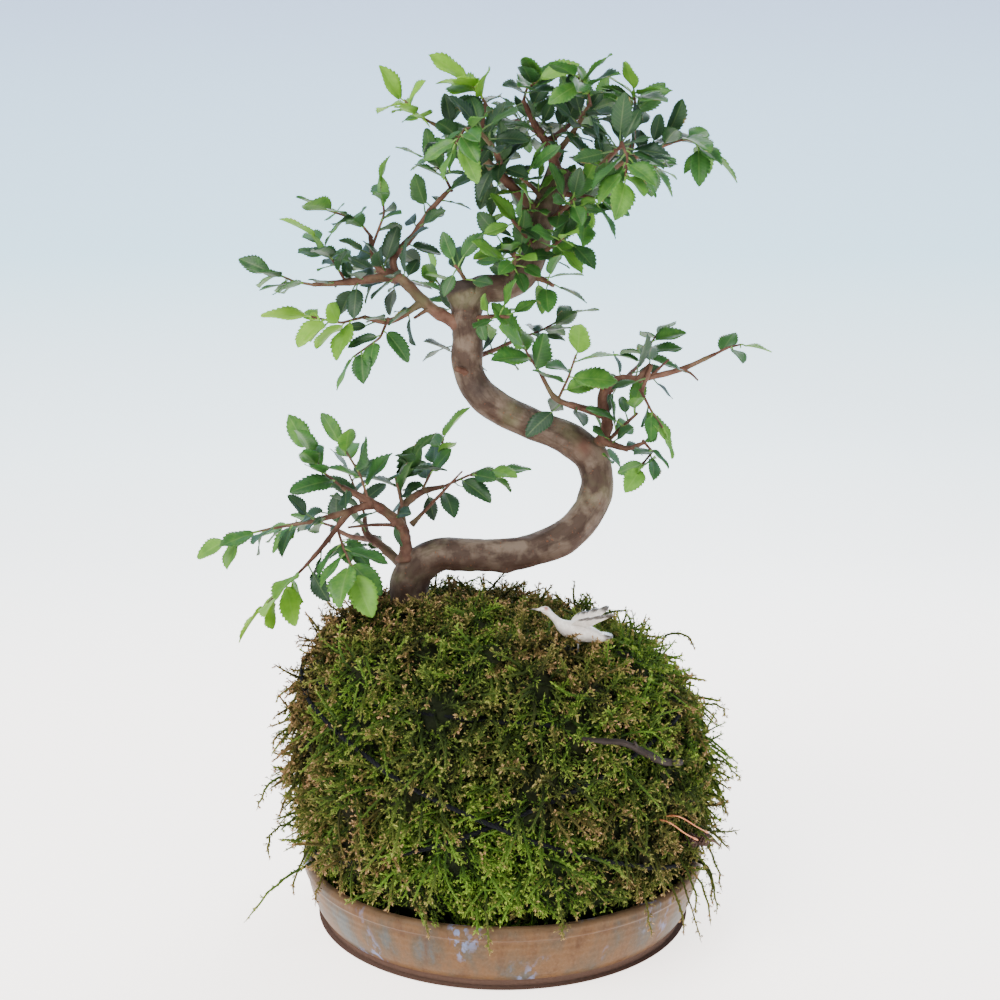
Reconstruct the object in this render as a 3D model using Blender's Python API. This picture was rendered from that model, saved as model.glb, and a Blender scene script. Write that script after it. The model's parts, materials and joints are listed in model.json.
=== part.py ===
"""Elm kokedama on a saucer: a bonsai elm in a moss ball, bound with cord, in a stoneware dish.

Units are metres and +Z is up. The origin is the centre of the saucer's flat underside.
+X runs to the side the long right-hand branch reaches, and +Y to the back.
"""

import math
import random

import bmesh
import bpy
from mathutils import Matrix, Vector
from mathutils.bvhtree import BVHTree

# ---------------------------------------------------------------- driving sizes
SAUCER_HEIGHT = 0.021          # flat underside to the top of the rim
SAUCER_WALL = 0.0036           # thickness of the turned wall
SAUCER_FLOOR = 0.0048          # thickness of the floor
SAUCER_FLARE = 0.006           # how far the rim stands out past the foot
FOOT_HEIGHT = 0.0024           # unglazed band under the glaze
FOOT_INSET = 0.0007            # how far that band steps in
RIM_BEAD = 0.0006              # how far the rim's band stands proud of the wall
RING_GAP = 0.0038              # open ring between the moss and the saucer's wall

BALL_RADIUS = 0.067            # widest radius of the moss mat
BALL_HEIGHT = 0.098            # underside of the mat to its crown
BALL_LEAN = -0.006             # sideways shift of the crown
MAT_THICKNESS = 0.009          # moss mat over the soil
SOCKET_DEPTH = 0.034           # how deep the root stump goes into the soil

CORD_RADIUS = 0.0008           # waxed binding cord

TREE_HEIGHT = 0.180            # soil line to the highest branch tip
TRUNK_RADIUS = 0.0060          # trunk radius in the middle of its bends
STUMP_RADIUS = 0.0068          # root stump inside the ball
LEAF_LENGTH = 0.013            # a grown leaf, stalk left out
LEAF_THICKNESS = 0.00045       # at the midrib
STALK = 0.0014                 # narrow foot of a leaf, kept out of the clearance test

# ---------------------------------------------------------------- clearances
REST_GAP = 0.0003              # between pieces that touch
SOCKET_GAP = 0.0005            # between the stump and its socket
LEAF_GAP = 0.0004              # least distance kept between leaves of different shoots

# The tree's routes are laid out on a tree this tall; sizes scale from it.
LAYOUT_HEIGHT = 0.180
LAYOUT_BASE = Vector((-0.032, 0.0, 0.104))

BALL_BOTTOM = SAUCER_FLOOR + REST_GAP
BALL_TOP = BALL_BOTTOM + BALL_HEIGHT
TREE_SCALE = TREE_HEIGHT / LAYOUT_HEIGHT
TREE_BASE = Vector((LAYOUT_BASE.x * BALL_RADIUS / 0.067, 0.0, BALL_TOP))

# Height and radius of the mat's outline, as shares of BALL_HEIGHT and BALL_RADIUS.
BALL_OUTLINE = (
    (0.00, 0.78), (0.06, 0.87), (0.16, 0.935), (0.30, 0.985), (0.46, 1.00),
    (0.62, 0.985), (0.76, 0.93), (0.87, 0.83), (0.94, 0.68), (0.985, 0.42),
)


def clear_scene():
    """Remove every object and the mesh data left behind."""
    for item in list(bpy.data.objects):
        bpy.data.objects.remove(item, do_unlink=True)
    for data in list(bpy.data.meshes):
        bpy.data.meshes.remove(data)
    for data in list(bpy.data.materials):
        bpy.data.materials.remove(data)


def make_material(name, colour, roughness, metallic=0.0):
    """A Principled material in one colour."""
    material = bpy.data.materials.new(name)
    material.use_nodes = True
    shader = material.node_tree.nodes["Principled BSDF"]
    shader.inputs["Base Color"].default_value = (*colour, 1.0)
    shader.inputs["Roughness"].default_value = roughness
    shader.inputs["Metallic"].default_value = metallic
    return material


def add_object(name, bm, material, smooth_angle=40.0):
    """Turn a bmesh into a named object with outward faces."""
    bmesh.ops.recalc_face_normals(bm, faces=bm.faces)
    mesh = bpy.data.meshes.new(name)
    bm.to_mesh(mesh)
    bm.free()
    mesh.shade_smooth()
    mesh.set_sharp_from_angle(angle=math.radians(smooth_angle))
    mesh.materials.append(material)
    item = bpy.data.objects.new(name, mesh)
    bpy.context.scene.collection.objects.link(item)
    return item


def add_grid(bm, rings, closed_path=False):
    """Skin a list of equal rings of points, capping both ends unless the path closes."""
    rows = [[bm.verts.new(point) for point in ring] for ring in rings]
    count = len(rows[0])
    spans = len(rows) if closed_path else len(rows) - 1
    for i in range(spans):
        here = rows[i]
        ahead = rows[(i + 1) % len(rows)]
        for k in range(count):
            n = (k + 1) % count
            bm.faces.new((here[k], here[n], ahead[n], ahead[k]))
    if not closed_path:
        bm.faces.new(list(reversed(rows[0])))
        bm.faces.new(rows[-1])


def frames_along(points, closed_path=False):
    """Tangent and two side vectors at each point, without twist."""
    count = len(points)
    tangents = []
    for i in range(count):
        if closed_path:
            step = points[(i + 1) % count] - points[i - 1]
        else:
            step = points[min(i + 1, count - 1)] - points[max(i - 1, 0)]
        tangents.append(step.normalized())
    side = tangents[0].orthogonal().normalized()
    frames = []
    for tangent in tangents:
        side = (side - tangent * side.dot(tangent)).normalized()
        frames.append((tangent, side, tangent.cross(side)))
    return frames


def tube_rings(points, radii, sides, frames):
    """Rings of points round a path."""
    rings = []
    for point, radius, (_, u, v) in zip(points, radii, frames):
        ring = []
        for k in range(sides):
            angle = math.tau * k / sides
            ring.append(point + (u * math.cos(angle) + v * math.sin(angle)) * radius)
        rings.append(ring)
    return rings


def tube_mesh(points, radii, sides, bm=None):
    """A capped tube through the points."""
    bm = bm or bmesh.new()
    add_grid(bm, tube_rings(points, radii, sides, frames_along(points)))
    return bm


def smooth_route(route, steps):
    """Catmull-Rom curve through (point, radius) pairs."""
    points = []
    radii = []
    last = len(route) - 1
    for i in range(last):
        p0 = route[max(i - 1, 0)][0]
        p1, r1 = route[i]
        p2, r2 = route[i + 1]
        p3 = route[min(i + 2, last)][0]
        for k in range(steps):
            t = k / steps
            points.append(
                0.5 * (2 * p1 + (p2 - p0) * t + (2 * p0 - 5 * p1 + 4 * p2 - p3) * t * t
                       + (3 * p1 - p0 - 3 * p2 + p3) * t ** 3)
            )
            radii.append(r1 + (r2 - r1) * t)
    points.append(route[last][0])
    radii.append(route[last][1])
    return points, radii


def apply_boolean(target, tool, operation):
    """Join or cut target with tool, then drop the tool."""
    modifier = target.modifiers.new(operation.title(), "BOOLEAN")
    modifier.operation = operation
    modifier.object = tool
    graph = bpy.context.evaluated_depsgraph_get()
    result = bpy.data.meshes.new_from_object(target.evaluated_get(graph))
    target.modifiers.remove(modifier)
    old = target.data
    target.data = result
    bpy.data.meshes.remove(old)
    bpy.data.objects.remove(tool, do_unlink=True)


def tree_of(item):
    """Search tree over an object's faces, in world space."""
    mesh = item.data
    corners = [item.matrix_world @ vertex.co for vertex in mesh.vertices]
    faces = [tuple(polygon.vertices) for polygon in mesh.polygons]
    return BVHTree.FromPolygons(corners, faces)


# ---------------------------------------------------------------- moss ball outline
def outline_radius(share):
    """Mat radius at a share of its height, as a share of BALL_RADIUS."""
    for (h0, r0), (h1, r1) in zip(BALL_OUTLINE, BALL_OUTLINE[1:]):
        if share <= h1:
            return r0 + (r1 - r0) * (share - h0) / (h1 - h0)
    return BALL_OUTLINE[-1][1]


def ball_point(angle, share, inset=0.0):
    """A point of the mat's outside, or of a surface inset below it."""
    swell = 1.0
    swell += 0.012 * math.sin(2 * angle + 0.6)
    swell += 0.008 * math.sin(3 * angle + 5.0 * share)
    low = share < SAUCER_HEIGHT / BALL_HEIGHT
    blend = 0.0 if low else (share - SAUCER_HEIGHT / BALL_HEIGHT)
    radius = BALL_RADIUS * outline_radius(share) * (1.0 + (swell - 1.0) * min(1.0, 4 * blend))
    radius -= inset
    bottom = BALL_BOTTOM + inset
    top = BALL_BOTTOM + BALL_HEIGHT - inset
    z = bottom + (top - bottom) * share
    x = radius * math.cos(angle) + BALL_LEAN * share ** 3
    z -= 0.0075 * share ** 4 * (x / BALL_RADIUS) * (BALL_HEIGHT / 0.098)
    return Vector((x, radius * math.sin(angle), z))


def ball_normal(angle, share):
    """Outward direction of the mat's outside."""
    east = ball_point(angle + 0.02, share) - ball_point(angle - 0.02, share)
    north = ball_point(angle, min(share + 0.01, 0.985)) - ball_point(angle, share - 0.01)
    return east.cross(north).normalized()


def ball_mesh(segments, inset):
    """Closed turned body that follows the mat's outline at an inset."""
    rings = []
    for share, _ in BALL_OUTLINE:
        rings.append([ball_point(math.tau * k / segments, share, inset) for k in range(segments)])
    bm = bmesh.new()
    rows = [[bm.verts.new(point) for point in ring] for ring in rings]
    for here, ahead in zip(rows, rows[1:]):
        for k in range(segments):
            n = (k + 1) % segments
            bm.faces.new((here[k], here[n], ahead[n], ahead[k]))
    for row, lift in ((rows[0], 0.0), (rows[-1], BALL_HEIGHT * 0.012)):
        middle = sum((vertex.co for vertex in row), Vector()) / segments
        hub = bm.verts.new(middle + Vector((0.0, 0.0, lift)))
        for k in range(segments):
            bm.faces.new((row[k], row[(k + 1) % segments], hub))
    return bm


# ---------------------------------------------------------------- saucer
def saucer_profile():
    """Radius and height pairs, from the underside out, over the rim and in along the floor."""
    rim_share = (SAUCER_HEIGHT - BALL_BOTTOM) / BALL_HEIGHT
    inner_rim = BALL_RADIUS * outline_radius(rim_share) + RING_GAP
    outer_rim = inner_rim + SAUCER_WALL
    foot = outer_rim - SAUCER_FLARE
    height = SAUCER_HEIGHT
    inner_foot = BALL_RADIUS * outline_radius(0.0) + RING_GAP
    profile = [
        (foot - FOOT_INSET, 0.0),
        (foot - FOOT_INSET, FOOT_HEIGHT),
        (foot, FOOT_HEIGHT),
        (foot + 0.30 * SAUCER_FLARE, height * 0.26),
        (foot + 0.62 * SAUCER_FLARE, height * 0.52),
        (outer_rim - RIM_BEAD - 0.0004, height * 0.80),
        (outer_rim, height * 0.83),
        (outer_rim, height * 0.95),
        (outer_rim - 0.25 * SAUCER_WALL, height),
        (outer_rim - 0.75 * SAUCER_WALL, height),
        (inner_rim, height * 0.94),
        (inner_foot + 0.6 * (inner_rim - inner_foot), height * 0.45),
        (inner_foot + 0.1 * (inner_rim - inner_foot), SAUCER_FLOOR + 0.0012),
        (inner_foot - 0.002, SAUCER_FLOOR),
    ]
    return profile


def build_saucer(material):
    """Shallow turned dish with a flat underside."""
    segments = 44
    bm = bmesh.new()
    rows = []
    for radius, z in saucer_profile():
        rows.append([
            bm.verts.new((radius * math.cos(math.tau * k / segments),
                          radius * math.sin(math.tau * k / segments), z))
            for k in range(segments)
        ])
    for here, ahead in zip(rows, rows[1:]):
        for k in range(segments):
            n = (k + 1) % segments
            bm.faces.new((here[k], here[n], ahead[n], ahead[k]))
    bm.faces.new(list(reversed(rows[0])))
    bm.faces.new(rows[-1])
    return add_object("saucer", bm, material, 30.0)


# ---------------------------------------------------------------- root ball and moss
def socket_tool():
    """Straight bore for the root stump, through the mat and into the soil."""
    bm = bmesh.new()
    bore = STUMP_RADIUS * TREE_SCALE + SOCKET_GAP
    top = BALL_TOP + 0.02
    bottom = BALL_TOP - SOCKET_DEPTH - SOCKET_GAP
    points = [Vector((TREE_BASE.x, 0.0, bottom)), Vector((TREE_BASE.x, 0.0, top))]
    tube_mesh(points, [bore, bore], 20, bm)
    return add_object("socket_tool", bm, bpy.data.materials[0])


def build_ball(moss, soil):
    """Soil core and the moss mat shell round it, both bored for the stump."""
    core = add_object("soil_core", ball_mesh(20, MAT_THICKNESS + REST_GAP), soil)
    apply_boolean(core, socket_tool(), "DIFFERENCE")
    mat = add_object("moss_mat", ball_mesh(32, 0.0), moss, 60.0)
    hollow = add_object("hollow_tool", ball_mesh(20, MAT_THICKNESS), moss)
    apply_boolean(mat, hollow, "DIFFERENCE")
    apply_boolean(mat, socket_tool(), "DIFFERENCE")
    return mat, core


# Cord rounds: share of the ball's height they lie at, how far they tilt, and the way they tilt.
CORD_ROUNDS = (
    ("cord_round_level", 0.745, 0.035, 3.9, 0),
    ("cord_round_right", 0.465, 0.265, 6.2, 1),
    ("cord_round_left", 0.500, 0.290, 3.05, 2),
)


def build_cords(material):
    """Closed rounds of cord over the mat. Where two cross, the later one rides above."""
    samples = 48
    made = []
    for name, share, tilt, heading, layer in CORD_ROUNDS:
        lift = REST_GAP + 0.00022 + CORD_RADIUS + layer * (2 * CORD_RADIUS + REST_GAP)
        points = []
        for k in range(samples):
            angle = math.tau * k / samples
            height = share + tilt * math.cos(angle - heading)
            points.append(ball_point(angle, height) + ball_normal(angle, height) * lift)
        bm = bmesh.new()
        frames = frames_along(points, closed_path=True)
        radii = [CORD_RADIUS] * samples
        centre = Vector((0.0, 0.0, BALL_BOTTOM + BALL_HEIGHT * share))
        squared = []
        for point, (tangent, _, _) in zip(points, frames):
            out = (point - centre)
            out = (out - tangent * out.dot(tangent)).normalized()
            squared.append((tangent, out, tangent.cross(out)))
        add_grid(bm, tube_rings(points, radii, 5, squared), closed_path=True)
        made.append(add_object(name, bm, material))
    return made


# ---------------------------------------------------------------- tree
def place(x, y, z):
    """A layout point, in millimetres from the saucer's origin, on the tree as sized."""
    point = Vector((x, y, z)) * 0.001
    return TREE_BASE + (point - LAYOUT_BASE) * TREE_SCALE


def route_of(steps, scale=TREE_SCALE):
    """Layout steps (x, y, z, radius in millimetres) as points and radii."""
    return [(place(x, y, z), r * 0.001 * scale) for x, y, z, r in steps]


TRUNK_STEPS = (
    (-32, 0, 105, 6.3), (-33, 0, 112, 6.6), (-30, -1, 119, 6.5), (-22, -3, 124, 6.2),
    (-10, -5, 124, 5.9), (1, -6, 124, 5.9), (11, -5, 126, 5.8), (21, -4, 130, 5.8),
    (29, -2, 138, 5.7), (33, 0, 148, 5.6), (31, 2, 157, 5.6), (23, 3, 164, 5.6),
    (11, 3, 169, 5.3), (0, 2, 174, 5.2), (-8, 1, 180, 5.3), (-12, 0, 188, 5.1),
    (-12, -1, 198, 5.0), (-12, -1, 208, 5.0), (-8, -1, 215, 5.0), (0, -1, 216, 4.9),
    (7, 0, 220, 4.8), (11, 1, 228, 4.6), (13, 2, 237, 4.6), (16, 2, 246, 4.7),
    (20, 2, 256, 4.8),
)


def build_trunk(material):
    """Serpentine trunk with its root stump and the healed cut on its shoulder."""
    radius_share = TRUNK_RADIUS / 0.0060
    route = [(p, r * radius_share) for p, r in route_of(TRUNK_STEPS)]
    points, radii = smooth_route(route, 1)
    stump_top = Vector((TREE_BASE.x, 0.0, BALL_TOP - 0.001))
    stump_low = Vector((TREE_BASE.x, 0.0, BALL_TOP - SOCKET_DEPTH))
    stump = STUMP_RADIUS * TREE_SCALE
    points = [stump_low, stump_top] + points[1:]
    radii = [stump * 0.8, stump] + radii[1:]
    trunk = add_object("trunk", tube_mesh(points, radii, 9), material, 60.0)
    scar = route_of(((-12, -1, 209, 5.4), (-14, -1, 217, 5.9), (-15, -1, 219, 5.2)))
    tool = add_object(
        "scar", tube_mesh([p for p, _ in scar], [r for _, r in scar], 9), material)
    apply_boolean(trunk, tool, "UNION")
    nub = route_of(((1, -6, 121, 2.6), (1, -7, 116, 1.6)))
    tool = add_object("nub", tube_mesh([p for p, _ in nub], [r for _, r in nub], 7), material)
    apply_boolean(trunk, tool, "UNION")
    return trunk


# Each branch: its name, then its limbs. The first limb springs from the trunk.
BRANCHES = (
    ("branch_lower_left", (
        ((-33, -3, 122, 2.3), (-35, -4, 133, 2.0), (-39, -6, 138, 1.8), (-46, -8, 143, 1.5),
         (-55, -9, 148, 1.1)),
        ((-35, -4, 132, 1.7), (-35, 1, 140, 1.5), (-29, 5, 145, 1.2), (-21, 8, 147, 0.9)),
        ((-45, -8, 142, 1.2), (-55, -12, 139, 1.1), (-66, -13, 136, 0.9)),
        ((-52, -11, 140, 1.0), (-60, -16, 129, 0.8), (-66, -18, 122, 0.7)),
    )),
    ("branch_arching", (
        ((-34, 0, 118, 1.9), (-42, 5, 125, 1.6), (-49, 10, 130, 1.3), (-50, 14, 136, 1.0)),
        ((-46, 8, 128, 1.2), (-56, 18, 128, 0.9), (-64, 26, 131, 0.7)),
    )),
    ("branch_upper_left", (
        ((-14, -2, 203, 2.3), (-25, -4, 209, 2.0), (-32, -5, 216, 1.8), (-37, -6, 219, 1.6),
         (-52, -8, 217, 1.2), (-64, -9, 216, 0.8)),
        ((-37, -6, 219, 1.4), (-43, -6, 223, 1.1), (-45, -5, 233, 0.8)),
        ((-36, -6, 218, 1.4), (-37, -4, 226, 1.3), (-31, -2, 233, 1.1), (-25, 0, 242, 1.0),
         (-18, 2, 250, 0.8)),
        ((-27, -4, 211, 1.2), (-38, -8, 204, 1.0), (-47, -11, 205, 0.8)),
        ((-33, -5, 217, 1.2), (-38, 6, 219, 1.0), (-44, 16, 223, 0.7)),
    )),
    ("branch_back", (
        ((-9, 3, 183, 2.0), (-13, 14, 190, 1.7), (-17, 26, 199, 1.3), (-18, 36, 210, 0.9)),
        ((-14, 18, 192, 1.2), (-4, 27, 196, 0.9), (6, 33, 201, 0.7)),
    )),
    ("branch_right", (
        ((32, 2, 160, 2.2), (36, -2, 168, 1.9), (34, -4, 178, 1.7), (38, -5, 184, 1.5),
         (49, -6, 185, 1.1), (61, -7, 188, 0.9), (72, -8, 193, 0.7)),
        ((34, -3, 173, 1.4), (26, -5, 175, 1.2), (18, -6, 178, 1.0), (13, -6, 186, 0.8)),
        ((46, -6, 184, 1.0), (50, -8, 189, 0.8), (47, -9, 180, 0.7)),
        ((36, -4, 181, 1.2), (42, 8, 184, 1.0), (49, 19, 190, 0.7)),
        ((34, 0, 164, 1.3), (42, -6, 161, 0.9), (48, -10, 163, 0.7)),
    )),
    ("branch_crown_left", (
        ((13, 1, 240, 2.0), (4, -2, 249, 1.7), (-5, -4, 257, 1.4), (-12, -5, 264, 1.1),
         (-24, -6, 270, 0.7)),
        ((2, -3, 251, 1.2), (-2, 10, 256, 1.0), (-8, 22, 264, 0.7)),
        ((-1, -3, 253, 1.1), (-2, -14, 258, 0.9), (-8, -25, 263, 0.7)),
        ((-8, -4, 260, 1.0), (-7, -6, 269, 0.8), (-6, -8, 276, 0.6)),
    )),
    ("branch_crown_right", (
        ((18, 2, 250, 1.9), (28, 0, 253, 1.6), (37, -2, 256, 1.3), (46, -3, 260, 1.0),
         (57, -4, 264, 0.7)),
        ((33, -1, 254, 1.2), (39, 11, 258, 0.9), (44, 24, 262, 0.7)),
        ((31, -1, 254, 1.1), (35, -14, 257, 0.9), (38, -26, 258, 0.7)),
        ((42, -3, 258, 0.9), (44, -4, 265, 0.7), (44, -5, 272, 0.6)),
    )),
    ("branch_crown_top", (
        ((19, 2, 253, 2.0), (16, 1, 263, 1.6), (11, 1, 271, 1.2), (7, 0, 279, 0.8)),
        ((15, 1, 265, 1.2), (22, 8, 272, 0.9), (28, 15, 279, 0.7)),
        ((17, 2, 260, 1.2), (24, -4, 268, 0.9), (29, -8, 276, 0.6)),
        ((13, 1, 268, 1.0), (9, 14, 274, 0.8), (5, 25, 279, 0.6)),
    )),
)


def seat(tree, start, direction, radius, gap):
    """Slide a limb's foot along its direction until it just clears the parent's skin."""
    u = direction.orthogonal().normalized()
    v = direction.cross(u)
    step = 0.0001
    for k in range(400):
        foot = start + direction * (k * step)
        ring = [foot]
        for ahead in (0.0, radius, 2.0 * radius):
            for n in range(8):
                turn = math.tau * n / 8
                side = (u * math.cos(turn) + v * math.sin(turn)) * radius
                ring.append(foot + direction * ahead + side)
        outside = True
        for point in ring:
            near, normal, _, distance = tree.find_nearest(point)
            if (point - near).dot(normal) < 0.0 or distance < gap:
                outside = False
                break
        if outside:
            return foot
    raise RuntimeError("a limb found no seat")


def build_branch(name, limbs, trunk_tree, material):
    """One branch with its forks joined into a single body, seated on the trunk."""
    first = route_of(limbs[0])
    heading = (first[1][0] - first[0][0]).normalized()
    foot = seat(trunk_tree, first[0][0], heading, first[0][1], REST_GAP)
    if (foot - first[0][0]).length > 0.8 * (first[1][0] - first[0][0]).length:
        heading = (first[2][0] - first[0][0]).normalized()
    for push in range(20):
        first[0] = (foot + heading * (push * REST_GAP), first[0][1])
        bm = tube_mesh(*zip(*first), 6)
        crossing = BVHTree.FromBMesh(bm).overlap(trunk_tree)
        if not crossing:
            break
        bm.free()
    branch = add_object(name, bm, material, 60.0)
    for limb in limbs[1:]:
        tool = add_object("limb", tube_mesh(*zip(*route_of(limb)), 5), material)
        apply_boolean(branch, tool, "UNION")
    return branch


# Each leafy shoot: name, parent branch, steps (x, y, z in millimetres), leaf count, leaf size share
# and leaf age (0 old and dark, 1 grown, 2 young and pale).
SHOOTS = (
    ("shoot_01", "branch_lower_left", ((-66, -13, 136), (-79, -14, 134), (-92, -16, 131)), 8, 1.00, 1),
    ("shoot_02", "branch_lower_left", ((-66, -18, 122), (-72, -20, 116), (-78, -22, 110)), 7, 1.15, 2),
    ("shoot_03", "branch_lower_left", ((-55, -9, 148), (-61, -10, 153), (-66, -10, 161)), 8, 1.10, 1),
    ("shoot_04", "branch_lower_left", ((-46, -8, 143), (-48, -13, 152), (-54, -16, 163)), 6, 1.05, 1),
    ("shoot_05", "branch_lower_left", ((-21, 8, 147), (-12, 8, 151), (-2, 7, 153)), 7, 1.00, 1),
    ("shoot_06", "branch_lower_left", ((-35, 1, 140), (-36, -2, 149), (-31, -5, 158)), 7, 1.10, 0),
    ("shoot_07", "branch_lower_left", ((-29, 5, 145), (-24, 8, 155), (-21, 9, 164)), 6, 1.00, 1),
    ("shoot_08", "branch_lower_left", ((-56, -13, 134), (-53, -20, 128), (-49, -27, 122)), 7, 1.15, 1),
    ("shoot_09", "branch_arching", ((-50, 14, 136), (-53, 19, 143), (-57, 23, 151)), 7, 1.05, 0),
    ("shoot_10", "branch_arching", ((-64, 26, 131), (-72, 30, 133), (-81, 33, 131)), 7, 1.05, 1),
    ("shoot_11", "branch_upper_left", ((-64, -9, 216), (-70, -9, 217), (-77, -10, 220)), 7, 1.00, 1),
    ("shoot_12", "branch_upper_left", ((-53, -8, 217), (-57, -9, 224), (-62, -11, 231)), 7, 0.95, 1),
    ("shoot_13", "branch_upper_left", ((-45, -5, 233), (-49, -6, 238), (-59, -7, 241)), 8, 1.00, 1),
    ("shoot_14", "branch_upper_left", ((-44, -5, 230), (-40, -6, 240), (-41, -7, 250)), 6, 0.90, 1),
    ("shoot_15", "branch_upper_left", ((-47, -11, 205), (-54, -12, 203), (-64, -13, 205)), 7, 1.10, 2),
    ("shoot_16", "branch_upper_left", ((-39, -9, 204), (-41, -13, 198), (-49, -16, 192)), 6, 1.00, 1),
    ("shoot_17", "branch_upper_left", ((-44, 16, 223), (-49, 22, 226), (-56, 28, 230)), 8, 1.00, 0),
    ("shoot_18", "branch_upper_left", ((-18, 2, 250), (-21, 3, 256), (-27, 3, 261)), 7, 0.95, 1),
    ("shoot_19", "branch_back", ((-18, 36, 210), (-21, 42, 217), (-26, 46, 225)), 8, 1.00, 1),
    ("shoot_20", "branch_back", ((6, 33, 201), (14, 37, 204), (23, 38, 209)), 8, 1.00, 0),
    ("shoot_21", "branch_right", ((72, -8, 193), (76, -9, 195), (80, -10, 196)), 3, 0.85, 1),
    ("shoot_22", "branch_right", ((47, -9, 180), (50, -10, 174), (54, -11, 168)), 4, 0.90, 1),
    ("shoot_23", "branch_right", ((13, -6, 186), (9, -7, 192), (5, -8, 199)), 7, 1.10, 1),
    ("shoot_24", "branch_right", ((19, -6, 178), (22, -12, 185), (24, -18, 192)), 6, 1.10, 1),
    ("shoot_25", "branch_right", ((48, -10, 163), (50, -15, 160), (46, -20, 156)), 5, 0.85, 1),
    ("shoot_26", "branch_right", ((49, 19, 190), (53, 26, 196), (58, 32, 203)), 8, 0.95, 1),
    ("shoot_27", "branch_crown_left", ((-24, -6, 270), (-28, -7, 272), (-33, -8, 277)), 7, 1.05, 2),
    ("shoot_28", "branch_crown_left", ((-6, -8, 276), (-8, -10, 279), (-12, -12, 282)), 5, 1.25, 2),
    ("shoot_29", "branch_crown_left", ((-8, 22, 264), (-13, 28, 269), (-20, 33, 273)), 9, 1.00, 1),
    ("shoot_30", "branch_crown_left", ((-8, -25, 263), (-12, -30, 262), (-15, -34, 256)), 8, 1.05, 1),
    ("shoot_31", "branch_crown_right", ((57, -4, 264), (62, -5, 265), (68, -6, 262)), 8, 1.10, 1),
    ("shoot_32", "branch_crown_right", ((44, 24, 262), (50, 29, 265), (57, 33, 264)), 9, 1.00, 1),
    ("shoot_33", "branch_crown_right", ((38, -26, 258), (39, -31, 253), (38, -35, 246)), 8, 1.05, 1),
    ("shoot_34", "branch_crown_right", ((44, -5, 272), (44, -8, 276), (43, -12, 279)), 8, 1.00, 1),
    ("shoot_35", "branch_crown_top", ((7, 0, 279), (8, -3, 282), (12, -6, 284)), 9, 1.00, 1),
    ("shoot_36", "branch_crown_top", ((28, 15, 279), (32, 17, 281), (37, 18, 283)), 9, 1.00, 1),
    ("shoot_37", "branch_crown_top", ((29, -8, 276), (28, -12, 279), (24, -17, 282)), 8, 1.00, 1),
    ("shoot_38", "branch_crown_top", ((5, 25, 279), (3, 30, 280), (-2, 35, 281)), 8, 1.00, 1),
)

# Leaf outline: share of the length along the midrib, and half-width as a share of the length.
LEAF_SIDES = ((0.28, 0.20), (0.62, 0.22))


def leaf_corners(foot, along, normal, length, droop):
    """Corner points of one leaf: foot, sides, tip and the two midrib points."""
    across = normal.cross(along).normalized()
    corners = [foot]
    for share, width in LEAF_SIDES:
        spine = foot + along * (length * share) - normal * (droop * length * share * share)
        corners.append(spine + across * (length * width) + normal * (length * 0.03))
    tip = foot + along * length - normal * (droop * length)
    corners.append(tip)
    for share, width in reversed(LEAF_SIDES):
        spine = foot + along * (length * share) - normal * (droop * length * share * share)
        corners.append(spine - across * (length * width) + normal * (length * 0.03))
    middle = foot + along * (length * 0.45) - normal * (droop * length * 0.2)
    return corners, middle + normal * (LEAF_THICKNESS * 0.5), middle - normal * (LEAF_THICKNESS * 0.9)


def leaf_mesh(corners, upper, lower):
    """Closed thin leaf with a midrib ridge above and below."""
    bm = bmesh.new()
    rim = [bm.verts.new(point) for point in corners]
    top = bm.verts.new(upper)
    under = bm.verts.new(lower)
    count = len(rim)
    for k in range(count):
        n = (k + 1) % count
        bm.faces.new((rim[k], top, rim[n]))
        bm.faces.new((rim[n], under, rim[k]))
    return bm


def leaf_tree(corners, upper, lower, gap):
    """Search tree over the leaf thickened by the gap."""
    lift = (upper - lower).normalized() * gap
    centre = sum(corners, Vector()) / len(corners)
    grown = [point + (point - centre).normalized() * gap for point in corners]
    verts = [point + lift for point in grown] + [point - lift for point in grown]
    verts += [upper + lift, lower - lift]
    count = len(corners)
    faces = []
    for k in range(count):
        n = (k + 1) % count
        faces.append((k, n, 2 * count))
        faces.append((count + n, count + k, 2 * count + 1))
        faces.append((k, count + k, count + n, n))
    return BVHTree.FromPolygons(verts, faces)


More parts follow.
